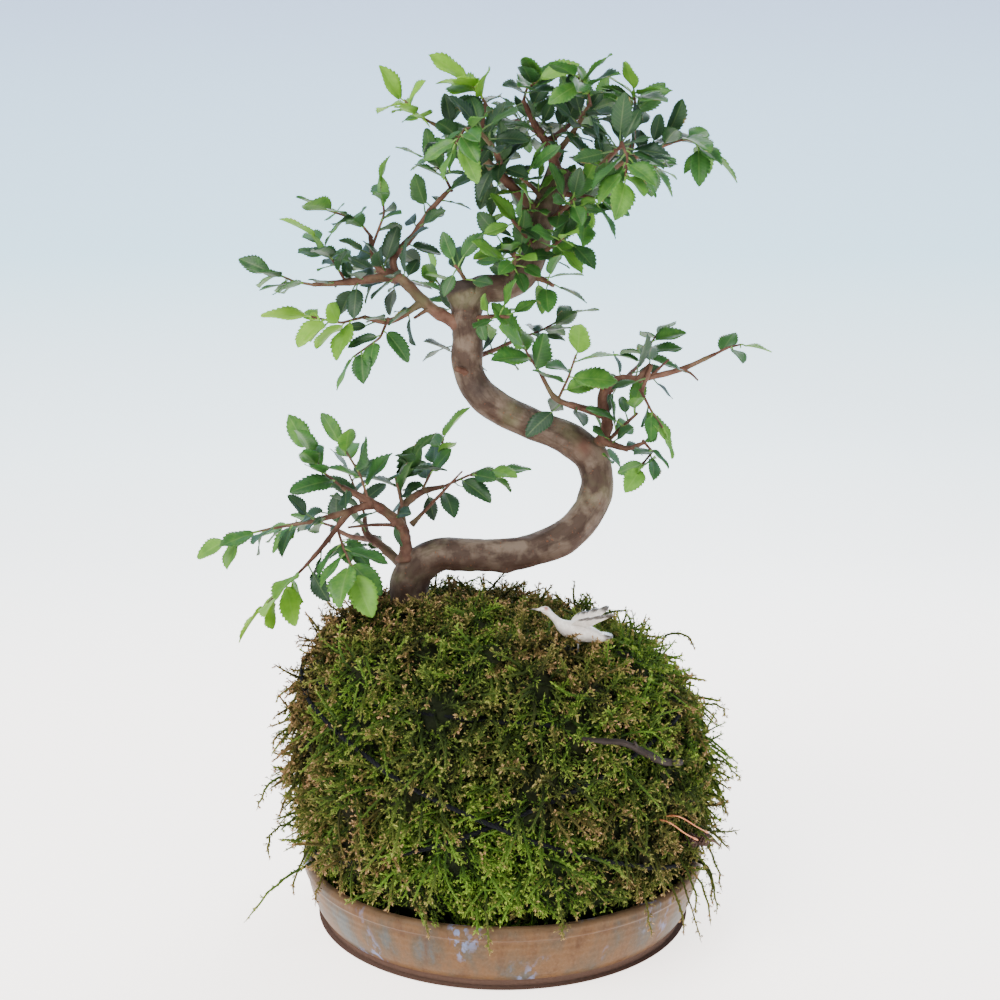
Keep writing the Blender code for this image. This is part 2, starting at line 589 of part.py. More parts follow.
def build_shoot(name, steps, count, size, parent_tree, others, material, rng):
    """A leafy shoot: stem and alternate leaves in one body, kept clear of all that stands."""
    route = route_of([(x, y, z, 0.55 - 0.1 * k) for k, (x, y, z) in enumerate(steps)])
    heading = (route[1][0] - route[0][0]).normalized()
    foot = seat(parent_tree, route[0][0] - heading * 0.001, heading, route[0][1], REST_GAP)
    if (foot - route[0][0]).dot(heading) > 0.7 * (route[1][0] - route[0][0]).length:
        route[1] = (foot + heading * 0.002, route[1][1])
    route[0] = (foot, route[0][1])
    points, radii = zip(*route)
    shoot = add_object(name, tube_mesh(points, radii, 4), material, 60.0)
    length_so_far = [0.0]
    for here, ahead in zip(points, points[1:]):
        length_so_far.append(length_so_far[-1] + (ahead - here).length)
    total = length_so_far[-1]
    own = []
    placed = 0
    for k in range(count):
        share = 0.16 + 0.84 * k / (count - 1)
        along_stem = share * total
        i = max(n for n in range(len(points) - 1) if length_so_far[n] <= along_stem + 1e-9)
        span = length_so_far[i + 1] - length_so_far[i]
        mix = min(0.98, (along_stem - length_so_far[i]) / span)
        base = points[i].lerp(points[i + 1], mix)
        tangent = (points[i + 1] - points[i]).normalized()
        side = tangent.cross(Vector((0.0, 0.0, 1.0)))
        side = side.normalized() if side.length > 0.2 else Vector((0.0, -1.0, 0.0))
        flip = 1.0 if k % 2 else -1.0
        last = k == count - 1
        done = False
        for attempt in range(60):
            spread = rng.uniform(0.55, 1.0) if not last else 0.05
            twist = rng.uniform(-0.5, 0.5) * (1 + attempt / 9)
            along = (tangent * (1.0 - 0.55 * spread) + side * (flip * spread)).normalized()
            along = Matrix.Rotation(twist, 3, tangent) @ along
            along = Matrix.Rotation(rng.uniform(-0.2, 0.2) * (1 + attempt / 9), 3, side) @ along
            shrink = 1.0 - 0.5 * attempt / 60
            length = LEAF_LENGTH * TREE_SCALE * size * rng.uniform(0.82, 1.12) * shrink
            outward = Vector((base.x - 0.005, base.y, 0.0)).normalized() * 0.35
            normal = outward + Vector((rng.uniform(-0.45, 0.45), rng.uniform(-1.0, 0.2), 0.8))
            normal = (normal - along * normal.dot(along)).normalized()
            corners, upper, lower = leaf_corners(base, along, normal, length, rng.uniform(0.05, 0.3))
            blade = [base + along * (STALK * TREE_SCALE)] + corners[1:]
            probe = leaf_tree(blade, upper, lower, LEAF_GAP)
            if any(probe.overlap(tree) for tree in own):
                continue
            middle = (corners[0] + corners[3]) * 0.5
            reach = length * 0.6 + LEAF_GAP
            near = [t for t, c, r in others if (c - middle).length < r + reach]
            stem_probe = tree_of_points(points, radii)
            if probe.overlap(stem_probe):
                continue
            if any(probe.overlap(tree) for tree in near):
                continue
            done = True
            break
        if not done:
            continue
        own.append(probe)
        placed += 1
        leaf = add_object("leaf", leaf_mesh(corners, upper, lower), material)
        apply_boolean(shoot, leaf, "UNION")
    return shoot, placed


def tree_of_points(points, radii):
    """Search tree over a coarse tube."""
    bm = tube_mesh(list(points), list(radii), 5)
    tree = BVHTree.FromBMesh(bm)
    bm.free()
    return tree


def bounds_of(item):
    """Search tree, centre and radius of an object's vertices."""
    corners = [vertex.co for vertex in item.data.vertices]
    centre = sum(corners, Vector()) / len(corners)
    return tree_of(item), centre, max((corner - centre).length for corner in corners)


# ---------------------------------------------------------------- small things on the moss
def surface_spot(x, share, front=True):
    """Angle on the ball whose outside point has this x, on the front or the back."""
    best = None
    for k in range(720):
        angle = math.pi + math.pi * k / 720 if front else math.pi * k / 720
        miss = abs(ball_point(angle, share).x - x)
        if best is None or miss < best[0]:
            best = (miss, angle)
    return best[1]


def over_ball(x, share, lift):
    """Point above the front of the mat at this x and height share."""
    angle = surface_spot(x * BALL_RADIUS / 0.067, share)
    return ball_point(angle, share) + ball_normal(angle, share) * lift


def build_litter(bark, cone, stalk):
    """Dead twig, paired cones and two spent moss stalks."""
    twig_points = [over_ball(0.050, 0.600, 0.0062), over_ball(0.040, 0.640, 0.0072),
                   over_ball(0.032, 0.690, 0.0086), over_ball(0.020, 0.720, 0.0098)]
    radii = [0.0010, 0.0011, 0.0009, 0.0006]
    twig = add_object("dead_twig", tube_mesh(twig_points, radii, 6), bark)
    prop_angle = surface_spot(0.046, 0.62)
    prop = [ball_point(prop_angle, 0.62) + ball_normal(prop_angle, 0.62) * (REST_GAP + 0.0002),
            over_ball(0.046, 0.617, 0.0064)]
    leg = add_object("leg", tube_mesh(prop, [0.0006, 0.0006], 5), bark)
    apply_boolean(twig, leg, "UNION")

    first = over_ball(0.0555, 0.315, 0.0058)
    second = first + Vector((0.0039, 0.0010, 0.0002))
    bm = bmesh.new()
    bmesh.ops.create_icosphere(bm, subdivisions=2, radius=0.0024)
    bmesh.ops.translate(bm, verts=bm.verts, vec=first)
    cones = add_object("cone_pair", bm, cone)
    bm = bmesh.new()
    bmesh.ops.create_icosphere(bm, subdivisions=2, radius=0.0024)
    bmesh.ops.translate(bm, verts=bm.verts, vec=second)
    apply_boolean(cones, add_object("cone", bm, cone), "UNION")
    tail = tube_mesh([second, second + Vector((0.003, 0, -0.0006)),
                      second + Vector((0.0055, 0, -0.0024))], [0.0006, 0.0004, 0.0003], 5)
    apply_boolean(cones, add_object("tail", tail, cone), "UNION")
    angle = surface_spot(0.0555, 0.315)
    rest = ball_point(angle, 0.315) + ball_normal(angle, 0.315) * (REST_GAP + 0.0002)
    stem = tube_mesh([first, rest], [0.0006, 0.0006], 5)
    apply_boolean(cones, add_object("stem", stem, cone), "UNION")

    made = [twig, cones]
    for name, x in (("moss_stalk_1", 0.0440), ("moss_stalk_2", 0.0480)):
        spot = surface_spot(x, 0.42)
        base = ball_point(spot, 0.42) + ball_normal(spot, 0.42) * (REST_GAP + 0.0002)
        route = [(base, 0.0004), (over_ball(x + 0.001, 0.44, 0.0075), 0.0004),
                 (over_ball(x + 0.005, 0.39, 0.0105), 0.00035),
                 (over_ball(x + 0.008, 0.355, 0.0115), 0.0003)]
        points, radii = smooth_route(route, 2)
        made.append(add_object(name, tube_mesh(points, radii, 5), stalk))
    return made


def build_crane(glaze, metal):
    """Small porcelain crane standing on a wire pin pushed into the moss."""
    angle = surface_spot(0.0240, 0.94)
    seat_point = ball_point(angle, 0.94)
    centre = seat_point + Vector((0.0, 0.0, 0.0075))
    bm = bmesh.new()
    bmesh.ops.create_uvsphere(bm, u_segments=10, v_segments=7, radius=1.0)
    stretch = Matrix.Diagonal((0.0066, 0.0030, 0.0030, 1.0))
    turn = Matrix.Rotation(math.radians(14), 4, "Y")
    bmesh.ops.transform(bm, matrix=Matrix.Translation(centre) @ turn @ stretch, verts=bm.verts)
    crane = add_object("crane_figurine", bm, glaze, 60.0)

    def join(points, radii, sides):
        part = [centre + Vector(point) for point in points]
        apply_boolean(crane, add_object("bit", tube_mesh(part, radii, sides), glaze), "UNION")

    join([(-0.0045, 0.0, 0.0010), (-0.0070, 0.0, 0.0035), (-0.0095, 0.0, 0.0062)],
         [0.0017, 0.0012, 0.0010], 7)
    join([(-0.0088, 0.0, 0.0056), (-0.0105, 0.0, 0.0068), (-0.0120, 0.0, 0.0069)],
         [0.0012, 0.0014, 0.0006], 7)
    join([(-0.0114, 0.0, 0.0069), (-0.0152, 0.0, 0.0071)], [0.0006, 0.0001], 6)
    join([(0.0040, 0.0, -0.0012), (0.0085, 0.0, -0.0022), (0.0112, 0.0, -0.0018)],
         [0.0020, 0.0014, 0.0004], 7)
    for flip in (-1.0, 1.0):
        wing = bmesh.new()
        outline = [(-0.0030, 0.0010, 0.0012), (0.0030, 0.0010, 0.0010), (0.0090, 0.0062, 0.0052),
                   (0.0118, 0.0078, 0.0070), (0.0060, 0.0080, 0.0068), (0.0000, 0.0056, 0.0046)]
        top = [wing.verts.new(centre + Vector((x, y * flip, z + 0.0005))) for x, y, z in outline]
        low = [wing.verts.new(centre + Vector((x, y * flip, z - 0.0005))) for x, y, z in outline]
        wing.faces.new(top)
        wing.faces.new(list(reversed(low)))
        for k in range(len(top)):
            n = (k + 1) % len(top)
            wing.faces.new((top[n], top[k], low[k], low[n]))
        apply_boolean(crane, add_object("wing", wing, glaze), "UNION")

    pin_top = centre + Vector((0.0, 0.0, -0.0030 - REST_GAP - 0.0002))
    pin = tube_mesh([seat_point + Vector((0.0, 0.0, 0.0006)), pin_top], [0.0004, 0.0004], 6)
    return [crane, add_object("crane_pin", pin, metal)]


def gather_under_root():
    """Parent every sub-part to one empty at the origin."""
    root = bpy.data.objects.new("kokedama", None)
    bpy.context.scene.collection.objects.link(root)
    for item in bpy.context.scene.collection.objects:
        if item is not root:
            item.parent = root


def main():
    """Build every sub-part."""
    clear_scene()
    glaze = make_material("stoneware_glaze", (0.25, 0.19, 0.14), 0.35)
    moss = make_material("moss_green", (0.07, 0.12, 0.03), 0.9)
    soil = make_material("soil_brown", (0.05, 0.03, 0.02), 0.95)
    cord = make_material("cord_blue_black", (0.015, 0.018, 0.028), 0.7)
    bark = make_material("elm_bark", (0.18, 0.12, 0.08), 0.85)
    twig = make_material("twig_bark", (0.20, 0.10, 0.06), 0.8)
    leaves = (
        make_material("leaf_dark", (0.02, 0.07, 0.03), 0.45),
        make_material("leaf_green", (0.05, 0.20, 0.04), 0.45),
        make_material("leaf_young", (0.28, 0.50, 0.06), 0.5),
    )
    cone = make_material("cone_brown", (0.08, 0.03, 0.02), 0.7)
    stalk = make_material("stalk_orange", (0.55, 0.14, 0.04), 0.6)
    china = make_material("crane_white", (0.80, 0.75, 0.68), 0.3)
    metal = make_material("pin_steel", (0.35, 0.35, 0.36), 0.35, 1.0)

    build_saucer(glaze)
    build_ball(moss, soil)
    build_cords(cord)
    trunk = build_trunk(bark)
    trunk_tree = tree_of(trunk)
    standing = [bounds_of(trunk)]
    branches = {}
    for name, limbs in BRANCHES:
        branch = build_branch(name, limbs, trunk_tree, twig)
        branches[name] = branch
        standing.append(bounds_of(branch))
    rng = random.Random(7)
    for name, parent, steps, count, size, age in SHOOTS:
        parent_tree = tree_of(branches[parent])
        shoot, _ = build_shoot(name, steps, count, size, parent_tree, standing, leaves[age], rng)
        standing.append(bounds_of(shoot))
    build_litter(twig, cone, stalk)
    build_crane(china, metal)
    gather_under_root()


main()
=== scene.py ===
"""Elm kokedama on a saucer: the fine surfaces round its CAD frame.

Everything is in metres in the frame of the part: the origin is the centre of the
saucer's underside, +Z is up and +Y runs to the back.
"""

from __future__ import annotations

import itertools
import json
import logging
import math
from dataclasses import dataclass, field
from enum import Enum

import bpy
import numpy as np
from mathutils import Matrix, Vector

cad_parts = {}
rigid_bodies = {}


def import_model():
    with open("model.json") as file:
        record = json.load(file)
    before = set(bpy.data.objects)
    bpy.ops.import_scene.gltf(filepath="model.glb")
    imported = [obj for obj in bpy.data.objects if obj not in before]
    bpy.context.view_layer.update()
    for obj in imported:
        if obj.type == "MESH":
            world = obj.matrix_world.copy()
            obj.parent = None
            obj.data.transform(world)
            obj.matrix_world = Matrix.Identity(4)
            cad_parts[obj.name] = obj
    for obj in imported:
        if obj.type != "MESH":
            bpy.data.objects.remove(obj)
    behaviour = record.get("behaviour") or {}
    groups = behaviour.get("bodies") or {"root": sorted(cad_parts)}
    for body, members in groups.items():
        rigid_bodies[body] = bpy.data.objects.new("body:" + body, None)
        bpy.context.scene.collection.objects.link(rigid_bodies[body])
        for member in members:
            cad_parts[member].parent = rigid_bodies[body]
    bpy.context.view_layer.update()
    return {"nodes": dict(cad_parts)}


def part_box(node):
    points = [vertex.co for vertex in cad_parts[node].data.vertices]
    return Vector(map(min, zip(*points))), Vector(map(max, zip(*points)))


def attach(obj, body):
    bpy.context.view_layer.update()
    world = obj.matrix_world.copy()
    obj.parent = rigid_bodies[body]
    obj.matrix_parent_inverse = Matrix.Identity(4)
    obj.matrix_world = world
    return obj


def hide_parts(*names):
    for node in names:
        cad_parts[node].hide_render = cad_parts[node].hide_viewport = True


LOG = logging.getLogger("kokedama")
MM = 0.001
GOLDEN_ANGLE = 2.399963
TOP_SHARE = 0.985
Array = np.ndarray
Material = bpy.types.Material
Socket = bpy.types.NodeSocket
Draws = np.random.Generator
Point = tuple[float, float, float]
Colour = tuple[float, float, float]
Stops = tuple[tuple[float, Colour], ...]
Frond = tuple[Array, Array, Array, Array]


# ------------------------------------------------------------------ numbers
def lattice_noise(points: Array, seed: int) -> Array:
    """Smooth random values between -1 and 1 at points in space.

    Args:
        points: Positions, one row each, one lattice cell per unit.
        seed: Which of the endless noise fields to read.

    Returns:
        One value per point.
    """
    cell = np.floor(points).astype(np.int64)
    part = points - cell
    part = part * part * (3.0 - 2.0 * part)
    total = np.zeros(len(points))
    for corner in itertools.product((0, 1), repeat=3):
        at = cell + np.array(corner)
        mixed = (at[:, 0] * 73856093) ^ (at[:, 1] * 19349663) ^ (at[:, 2] * 83492791) ^ (seed * 2654435761)
        mixed = (mixed ^ (mixed >> 13)) * 1274126177
        value = ((mixed ^ (mixed >> 16)) & 0xFFFF) / 32767.5 - 1.0
        weight = np.ones(len(points))
        for axis in range(3):
            weight = weight * (part[:, axis] if corner[axis] else 1.0 - part[:, axis])
        total += value * weight
    return total


def layered_noise(points: Array, seed: int, layers: int = 3) -> Array:
    """Lattice noise with finer layers added at half strength each.

    Args:
        points: Positions, one row each.
        seed: First noise field.
        layers: How many layers to add.

    Returns:
        One value per point.
    """
    total = np.zeros(len(points))
    for layer in range(layers):
        total += lattice_noise(points * 2.0**layer, seed + layer) / 2.0**layer
    return total


def unit(vectors: Array) -> Array:
    """Vectors scaled to length one along their last axis."""
    return vectors / np.maximum(np.linalg.norm(vectors, axis=-1, keepdims=True), 1e-12)


def past(value: Array, start: float, width: float) -> Array:
    """How far values are past a start, from 0 there to 1 a width further on.

    Args:
        value: The values.
        start: Where the share begins to grow.
        width: How much further it is full.

    Returns:
        Shares held between 0 and 1.
    """
    return np.clip((value - start) / width, 0, 1)


def bell(gap: Array, width: float) -> Array:
    """Smooth hump: one at no gap and next to nothing two widths away."""
    return np.exp(-((gap / width) ** 2))


def mound(at: Array, x: float, z: float, wide: float, tall: float) -> Array:
    """Smooth hump round a place on the front, in x and height.

    Args:
        at: Places to read it at.
        x: Its middle, to the right.
        z: Its middle, upwards.
        wide: Its width in x.
        tall: Its width in height.

    Returns:
        Values from 0 to 1.
    """
    return np.exp(-(((at[:, 0] - x) / wide) ** 2) - (((at[:, 2] - z) / tall) ** 2))


def curve_through(knots: Array, per_span: int) -> Array:
    """Catmull-Rom curve through rows of numbers.

    Args:
        knots: One row per knot; every column is carried along.
        per_span: Samples from one knot to the next.

    Returns:
        The sampled rows, both end knots included.
    """
    padded = np.vstack([2 * knots[0] - knots[1], knots, 2 * knots[-1] - knots[-2]])
    rows = []
    for i in range(len(knots) - 1):
        a, b, c, d = padded[i : i + 4]
        for t in np.arange(per_span) / per_span:
            rows.append(
                0.5 * (2 * b + (c - a) * t + (2 * a - 5 * b + 4 * c - d) * t * t
                       + (3 * b - a - 3 * c + d) * t**3)
            )
    rows.append(knots[-1])
    return np.array(rows)


def run_along(path: Array) -> Array:
    """Distance from the start of a path to each of its points."""
    return np.concatenate([[0.0], np.cumsum(np.linalg.norm(np.diff(path, axis=0), axis=1))])


def nearest(points: Array, others: Array) -> Array:
    """Distance from each point to the nearest of the others.

    Args:
        points: Where to measure from.
        others: What to measure to.

    Returns:
        One distance per point.
    """
    best = np.full(len(points), 1e9)
    for chunk in np.array_split(others, max(1, len(others) // 64)):
        gap = np.linalg.norm(points[:, None] - chunk[None], axis=-1).min(1)
        best = np.minimum(best, gap)
    return best


def side_frames(points: Array, closed: bool = False) -> tuple[Array, Array, Array]:
    """Tangent and two side directions along a path, without twist.

    Args:
        points: The path.
        closed: Whether the last point leads back to the first.

    Returns:
        Tangents, first sides and second sides.
    """
    if closed:
        tangents = unit(np.roll(points, -1, 0) - np.roll(points, 1, 0))
    else:
        tangents = unit(np.gradient(points, axis=0))
    helper = np.array([0.0, 0.0, 1.0]) if abs(tangents[0][2]) < 0.9 else np.array([1.0, 0.0, 0.0])
    side = unit(np.cross(tangents[0], helper))
    sides = []
    for tangent in tangents:
        side = unit(side - tangent * side.dot(tangent))
        sides.append(side)
    first = np.array(sides)
    return tangents, first, np.cross(tangents, first)


# ------------------------------------------------------------------ meshes
@dataclass
class MeshParts:
    """Vertices, faces and per-vertex facts gathered for one mesh."""

    verts: list[Array] = field(default_factory=list)
    quads: list[Array] = field(default_factory=list)
    tris: list[Array] = field(default_factory=list)
    facts: dict[str, list[Array]] = field(default_factory=dict)
    count: int = 0

    def add(self, verts: Array, quads: Array | None = None, tris: Array | None = None,
            **facts: Array) -> None:
        """Add one patch of surface.

        Args:
            verts: Its vertices.
            quads: Its four-cornered faces, by vertex row.
            tris: Its three-cornered faces, by vertex row.
            **facts: Named values, one row per vertex.
        """
        self.verts.append(verts)
        if quads is not None and len(quads):
            self.quads.append(np.asarray(quads) + self.count)
        if tris is not None and len(tris):
            self.tris.append(np.asarray(tris) + self.count)
        for name, values in facts.items():
            self.facts.setdefault(name, []).append(np.asarray(values, np.float32))
        self.count += len(verts)

    def build(self, name: str, material: Material) -> bpy.types.Object:
        """Make the mesh object.

        Args:
            name: Object name.
            material: Its finish.

        Returns:
            The linked object, smooth shaded.
        """
        mesh = bpy.data.meshes.new(name)
        verts = np.concatenate(self.verts).astype(np.float32)
        quads = np.concatenate(self.quads) if self.quads else np.zeros((0, 4), int)
        tris = np.concatenate(self.tris) if self.tris else np.zeros((0, 3), int)
        corners = np.concatenate([quads.ravel(), tris.ravel()]).astype(np.int32)
        starts = np.concatenate([np.arange(len(quads)) * 4, len(quads) * 4 + np.arange(len(tris)) * 3])
        mesh.vertices.add(len(verts))
        mesh.vertices.foreach_set("co", verts.ravel())
        mesh.loops.add(len(corners))
        mesh.loops.foreach_set("vertex_index", corners)
        mesh.polygons.add(len(starts))
        mesh.polygons.foreach_set("loop_start", starts.astype(np.int32))
        mesh.update(calc_edges=True)
        for fact, chunks in self.facts.items():
            values = np.concatenate(chunks)
            wide = values.ndim == 2
            made = mesh.attributes.new(fact, "FLOAT_VECTOR" if wide else "FLOAT", "POINT")
            made.data.foreach_set("vector" if wide else "value", values.ravel())
        mesh.validate()
        mesh.shade_smooth()
        mesh.materials.append(material)
        made_object = bpy.data.objects.new(name, mesh)
        bpy.context.scene.collection.objects.link(made_object)
        return made_object


def turns(sides: int) -> Array:
    """Angles of the vertices of a ring."""
    return np.arange(sides) / sides * math.tau


def tube_quads(rings: int, sides: int, closed: bool = False) -> Array:
    """Faces of a tube laid out ring by ring.

    Args:
        rings: Number of rings.
        sides: Vertices in a ring.
        closed: Whether the last ring joins the first.

    Returns:
        Four-cornered faces with their outside out.
    """
    spans = rings if closed else rings - 1
    i = np.repeat(np.arange(spans), sides)
    k = np.tile(np.arange(sides), spans)
    n = (k + 1) % sides
    j = (i + 1) % rings
    return np.stack([i * sides + k, i * sides + n, j * sides + n, j * sides + k], 1)


def end_caps(rings: int, sides: int) -> Array:
    """Fans over both ends of a tube, round two middle vertices that follow its rings.

    Args:
        rings: Number of rings.
        sides: Vertices in a ring.

    Returns:
        Three-cornered faces with their outside out.
    """
    k = np.arange(sides)
    n = (k + 1) % sides
    last = (rings - 1) * sides
    hub = np.full(sides, rings * sides)
    return np.vstack([np.stack([n, k, hub], 1), np.stack([last + k, last + n, hub + 1], 1)])


def sweep(points: Array, radii: Array, sides: int, closed: bool = False,
          shape: Array | None = None) -> tuple[Array, Array, Array]:
    """Tube round a path.

    Args:
        points: The path.
        radii: Radius at each point.
        sides: Vertices in a ring.
        closed: Whether the path closes.
        shape: Share of the radius, per point and side, where the tube isn't round.

    Returns:
        Vertices, faces and end-cap triangles.
    """
    _, u, v = side_frames(points, closed)
    turn = turns(sides)
    reach = np.asarray(radii)[:, None] * (np.ones((len(points), sides)) if shape is None else shape)
    verts = points[:, None] + (
        u[:, None] * (np.cos(turn)[None, :, None]) + v[:, None] * (np.sin(turn)[None, :, None])
    ) * reach[..., None]
    flat = verts.reshape(-1, 3)
    quads = tube_quads(len(points), sides, closed)
    if closed:
        return flat, quads, np.zeros((0, 3), int)
    return np.vstack([flat, points[0], points[-1]]), quads, end_caps(len(points), sides)


def middles(path: Array, sides: int) -> Array:
    """Middle-line point of every vertex that sweep makes, end caps included."""
    return np.vstack([np.repeat(path, sides, 0), path[0], path[-1]])


def present(item: bpy.types.Object, slot: str, *nodes: str) -> None:
    """Hand a finished piece to the frame and report it.

    Args:
        item: The piece.
        slot: Name of a material slot; not used.
        *nodes: CAD nodes it stands for.
    """
    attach(item, "root")
    if nodes:
        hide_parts(*nodes)
    LOG.info("%s: %d faces, stands for %s", item.name, len(item.data.polygons), ", ".join(nodes) or "none")


# ------------------------------------------------------------------ finishes
class Shade:
    """A material under construction, with short ways to add its nodes."""

    def __init__(self, name: str) -> None:
        """Start an empty Principled material.

        Args:
            name: Its name.
        """
        self.material = bpy.data.materials.new(name)
        self.material.use_nodes = True
        self.tree = self.material.node_tree
        self.skin = self.tree.nodes["Principled BSDF"]

    def node(self, kind: str, **settings: object) -> bpy.types.Node:
        """Add a node and set its properties.

        Args:
            kind: Node type, without the ShaderNode prefix.
            **settings: Properties to set.

        Returns:
            The node.
        """
        made = self.tree.nodes.new("ShaderNode" + kind)
        for key, value in settings.items():
            setattr(made, key, value)
        return made

    def feed(self, socket: Socket, value: object) -> None:
        """Link a socket, or set it to a plain value.

        Args:
            socket: Input to feed.
            value: Another node's output, a number or a colour.
        """
        if isinstance(value, Socket):
            self.tree.links.new(value, socket)
        elif isinstance(value, tuple) and len(value) == 3 and socket.type == "RGBA":
            socket.default_value = (*value, 1.0)
        else:
            socket.default_value = value

    def fact(self, name: str) -> Socket:
        """The value stored on the mesh under this name."""
        return self.node("Attribute", attribute_name=name).outputs["Fac"]

    def fact_vector(self, name: str) -> Socket:
        """The vector stored on the mesh under this name."""
        return self.node("Attribute", attribute_name=name).outputs["Vector"]

    def place(self) -> Socket:
        """Coordinates fixed to the object."""
        return self.node("TexCoord").outputs["Object"]

    def split(self, vector: Socket) -> tuple[Socket, ...]:
        """Take a vector apart.

        Args:
            vector: The vector.

        Returns:
            Its three parts.
        """
        made = self.node("SeparateXYZ")
        self.feed(made.inputs[0], vector)
        return tuple(made.outputs)

    def stretch(self, vector: Socket, scale: Point) -> Socket:
        """Scale coordinates along each axis.

        Args:
            vector: Coordinates.
            scale: Factor along each axis.

        Returns:
            The scaled coordinates.
        """
        made = self.node("Mapping")
        self.feed(made.inputs["Vector"], vector)
        made.inputs["Scale"].default_value = scale
        return made.outputs[0]

    def noise(self, vector: Socket, scale: float, detail: float = 4.0,
              rough: float = 0.55) -> Socket:
        """Noise value at the coordinates.

        Args:
            vector: Coordinates to read.
            scale: Features per metre.
            detail: Layers of finer noise.
            rough: Strength of the finer layers.

        Returns:
            The noise factor socket.
        """
        made = self.node("TexNoise")
        self.feed(made.inputs["Vector"], vector)
        made.inputs["Scale"].default_value = scale
        made.inputs["Detail"].default_value = detail
        made.inputs["Roughness"].default_value = rough
        return made.outputs["Fac"]

    def cells(self, vector: Socket, scale: float) -> Socket:
        """Distance to the nearest of scattered points.

        Args:
            vector: Coordinates to read.
            scale: Points per metre.

        Returns:
            The distance socket.
        """
        made = self.node("TexVoronoi")
        self.feed(made.inputs["Vector"], vector)
        made.inputs["Scale"].default_value = scale
        return made.outputs["Distance"]

    def ramp(self, value: Socket, stops: Stops) -> Socket:
        """Colours spread over a value.

        Args:
            value: What picks the colour.
            stops: Position and colour pairs in rising order.

        Returns:
            The colour socket.
        """
        made = self.node("ValToRGB")
        self.feed(made.inputs[0], value)
        bar = made.color_ramp.elements
        while len(bar) < len(stops):
            bar.new(0.5)
        for element, (at, colour) in zip(bar, stops):
            element.position = at
            element.color = (*colour, 1.0)
        return made.outputs["Color"]

    def span(self, value: Socket, low: float, high: float, out_low: float = 0.0,
             out_high: float = 1.0) -> Socket:
        """Move a value from one range to another, held inside it.

        Args:
            value: The value.
            low: Start of its range.
            high: End of its range.
            out_low: What the start becomes.
            out_high: What the end becomes.

        Returns:
            The moved value.
        """
        made = self.node("MapRange", clamp=True)
        for socket, number in zip(made.inputs, (value, low, high, out_low, out_high)):
            self.feed(socket, number)
        return made.outputs[0]

    def mix(self, share: object, first: object, second: object) -> Socket:
        """Two colours mixed.

        Args:
            share: How much of the second, a number or a socket.
            first: Colour or socket.
            second: Colour or socket.

        Returns:
            The colour socket.
        """
        made = self.node("Mix", data_type="RGBA")
        self.feed(made.inputs[0], share)
        self.feed(made.inputs[6], first)
        self.feed(made.inputs[7], second)
        return made.outputs[2]

    def times(self, first: object, second: object) -> Socket:
        """Two values multiplied."""
        return self.combine("MULTIPLY", first, second)

    def plus(self, first: object, second: object) -> Socket:
        """Two values added."""
        return self.combine("ADD", first, second)

    def combine(self, operation: str, first: object, second: object = 0.0) -> Socket:
        """Work out one value from two.

        Args:
            operation: What to do with them.
            first: Number or socket.
            second: Number or socket, where the operation has a second.

        Returns:
            The result socket.
        """
        made = self.node("Math", operation=operation)
        self.feed(made.inputs[0], first)
        self.feed(made.inputs[1], second)
        return made.outputs[0]

    def relief(self, height: Socket, depth: float, strength: float = 1.0,
               under: Socket | None = None) -> Socket:
        """Bumped normal.

        Args:
            height: Height pattern from 0 to 1.
            depth: Its depth in metres.
            strength: Bump strength.
            under: Another bump to add to.

        Returns:
            The normal socket.
        """
        made = self.node("Bump")
        made.inputs["Strength"].default_value = strength
        made.inputs["Distance"].default_value = depth
        self.feed(made.inputs["Height"], height)
        if under is not None:
            self.feed(made.inputs["Normal"], under)
        return made.outputs[0]

    def wear(self, colour: object = None, rough: object = None, normal: object = None,
             **plain: float) -> Material:
        """Connect the shader and give the material back.

        Args:
            colour: Base colour socket or value.
            rough: Roughness socket or value.
            normal: Normal socket.
            **plain: Plain values for other inputs, with _ for spaces.

        Returns:
            The finished material.
        """
        for name, value in (("Base Color", colour), ("Roughness", rough), ("Normal", normal)):
            if value is not None:
                self.feed(self.skin.inputs[name], value)
        for name, value in plain.items():
            self.skin.inputs[name.replace("_", " ")].default_value = value
        return self.material


# Side veins of a leaf from foot to tip, and how many of them one crosses on the way to the rim.
VEINS = 10.0
VEIN_SLANT = 2.1


class LeafAge(Enum):
    """How grown the leaves of a shoot are."""

    OLD = 0
    GROWN = 1
    YOUNG = 2


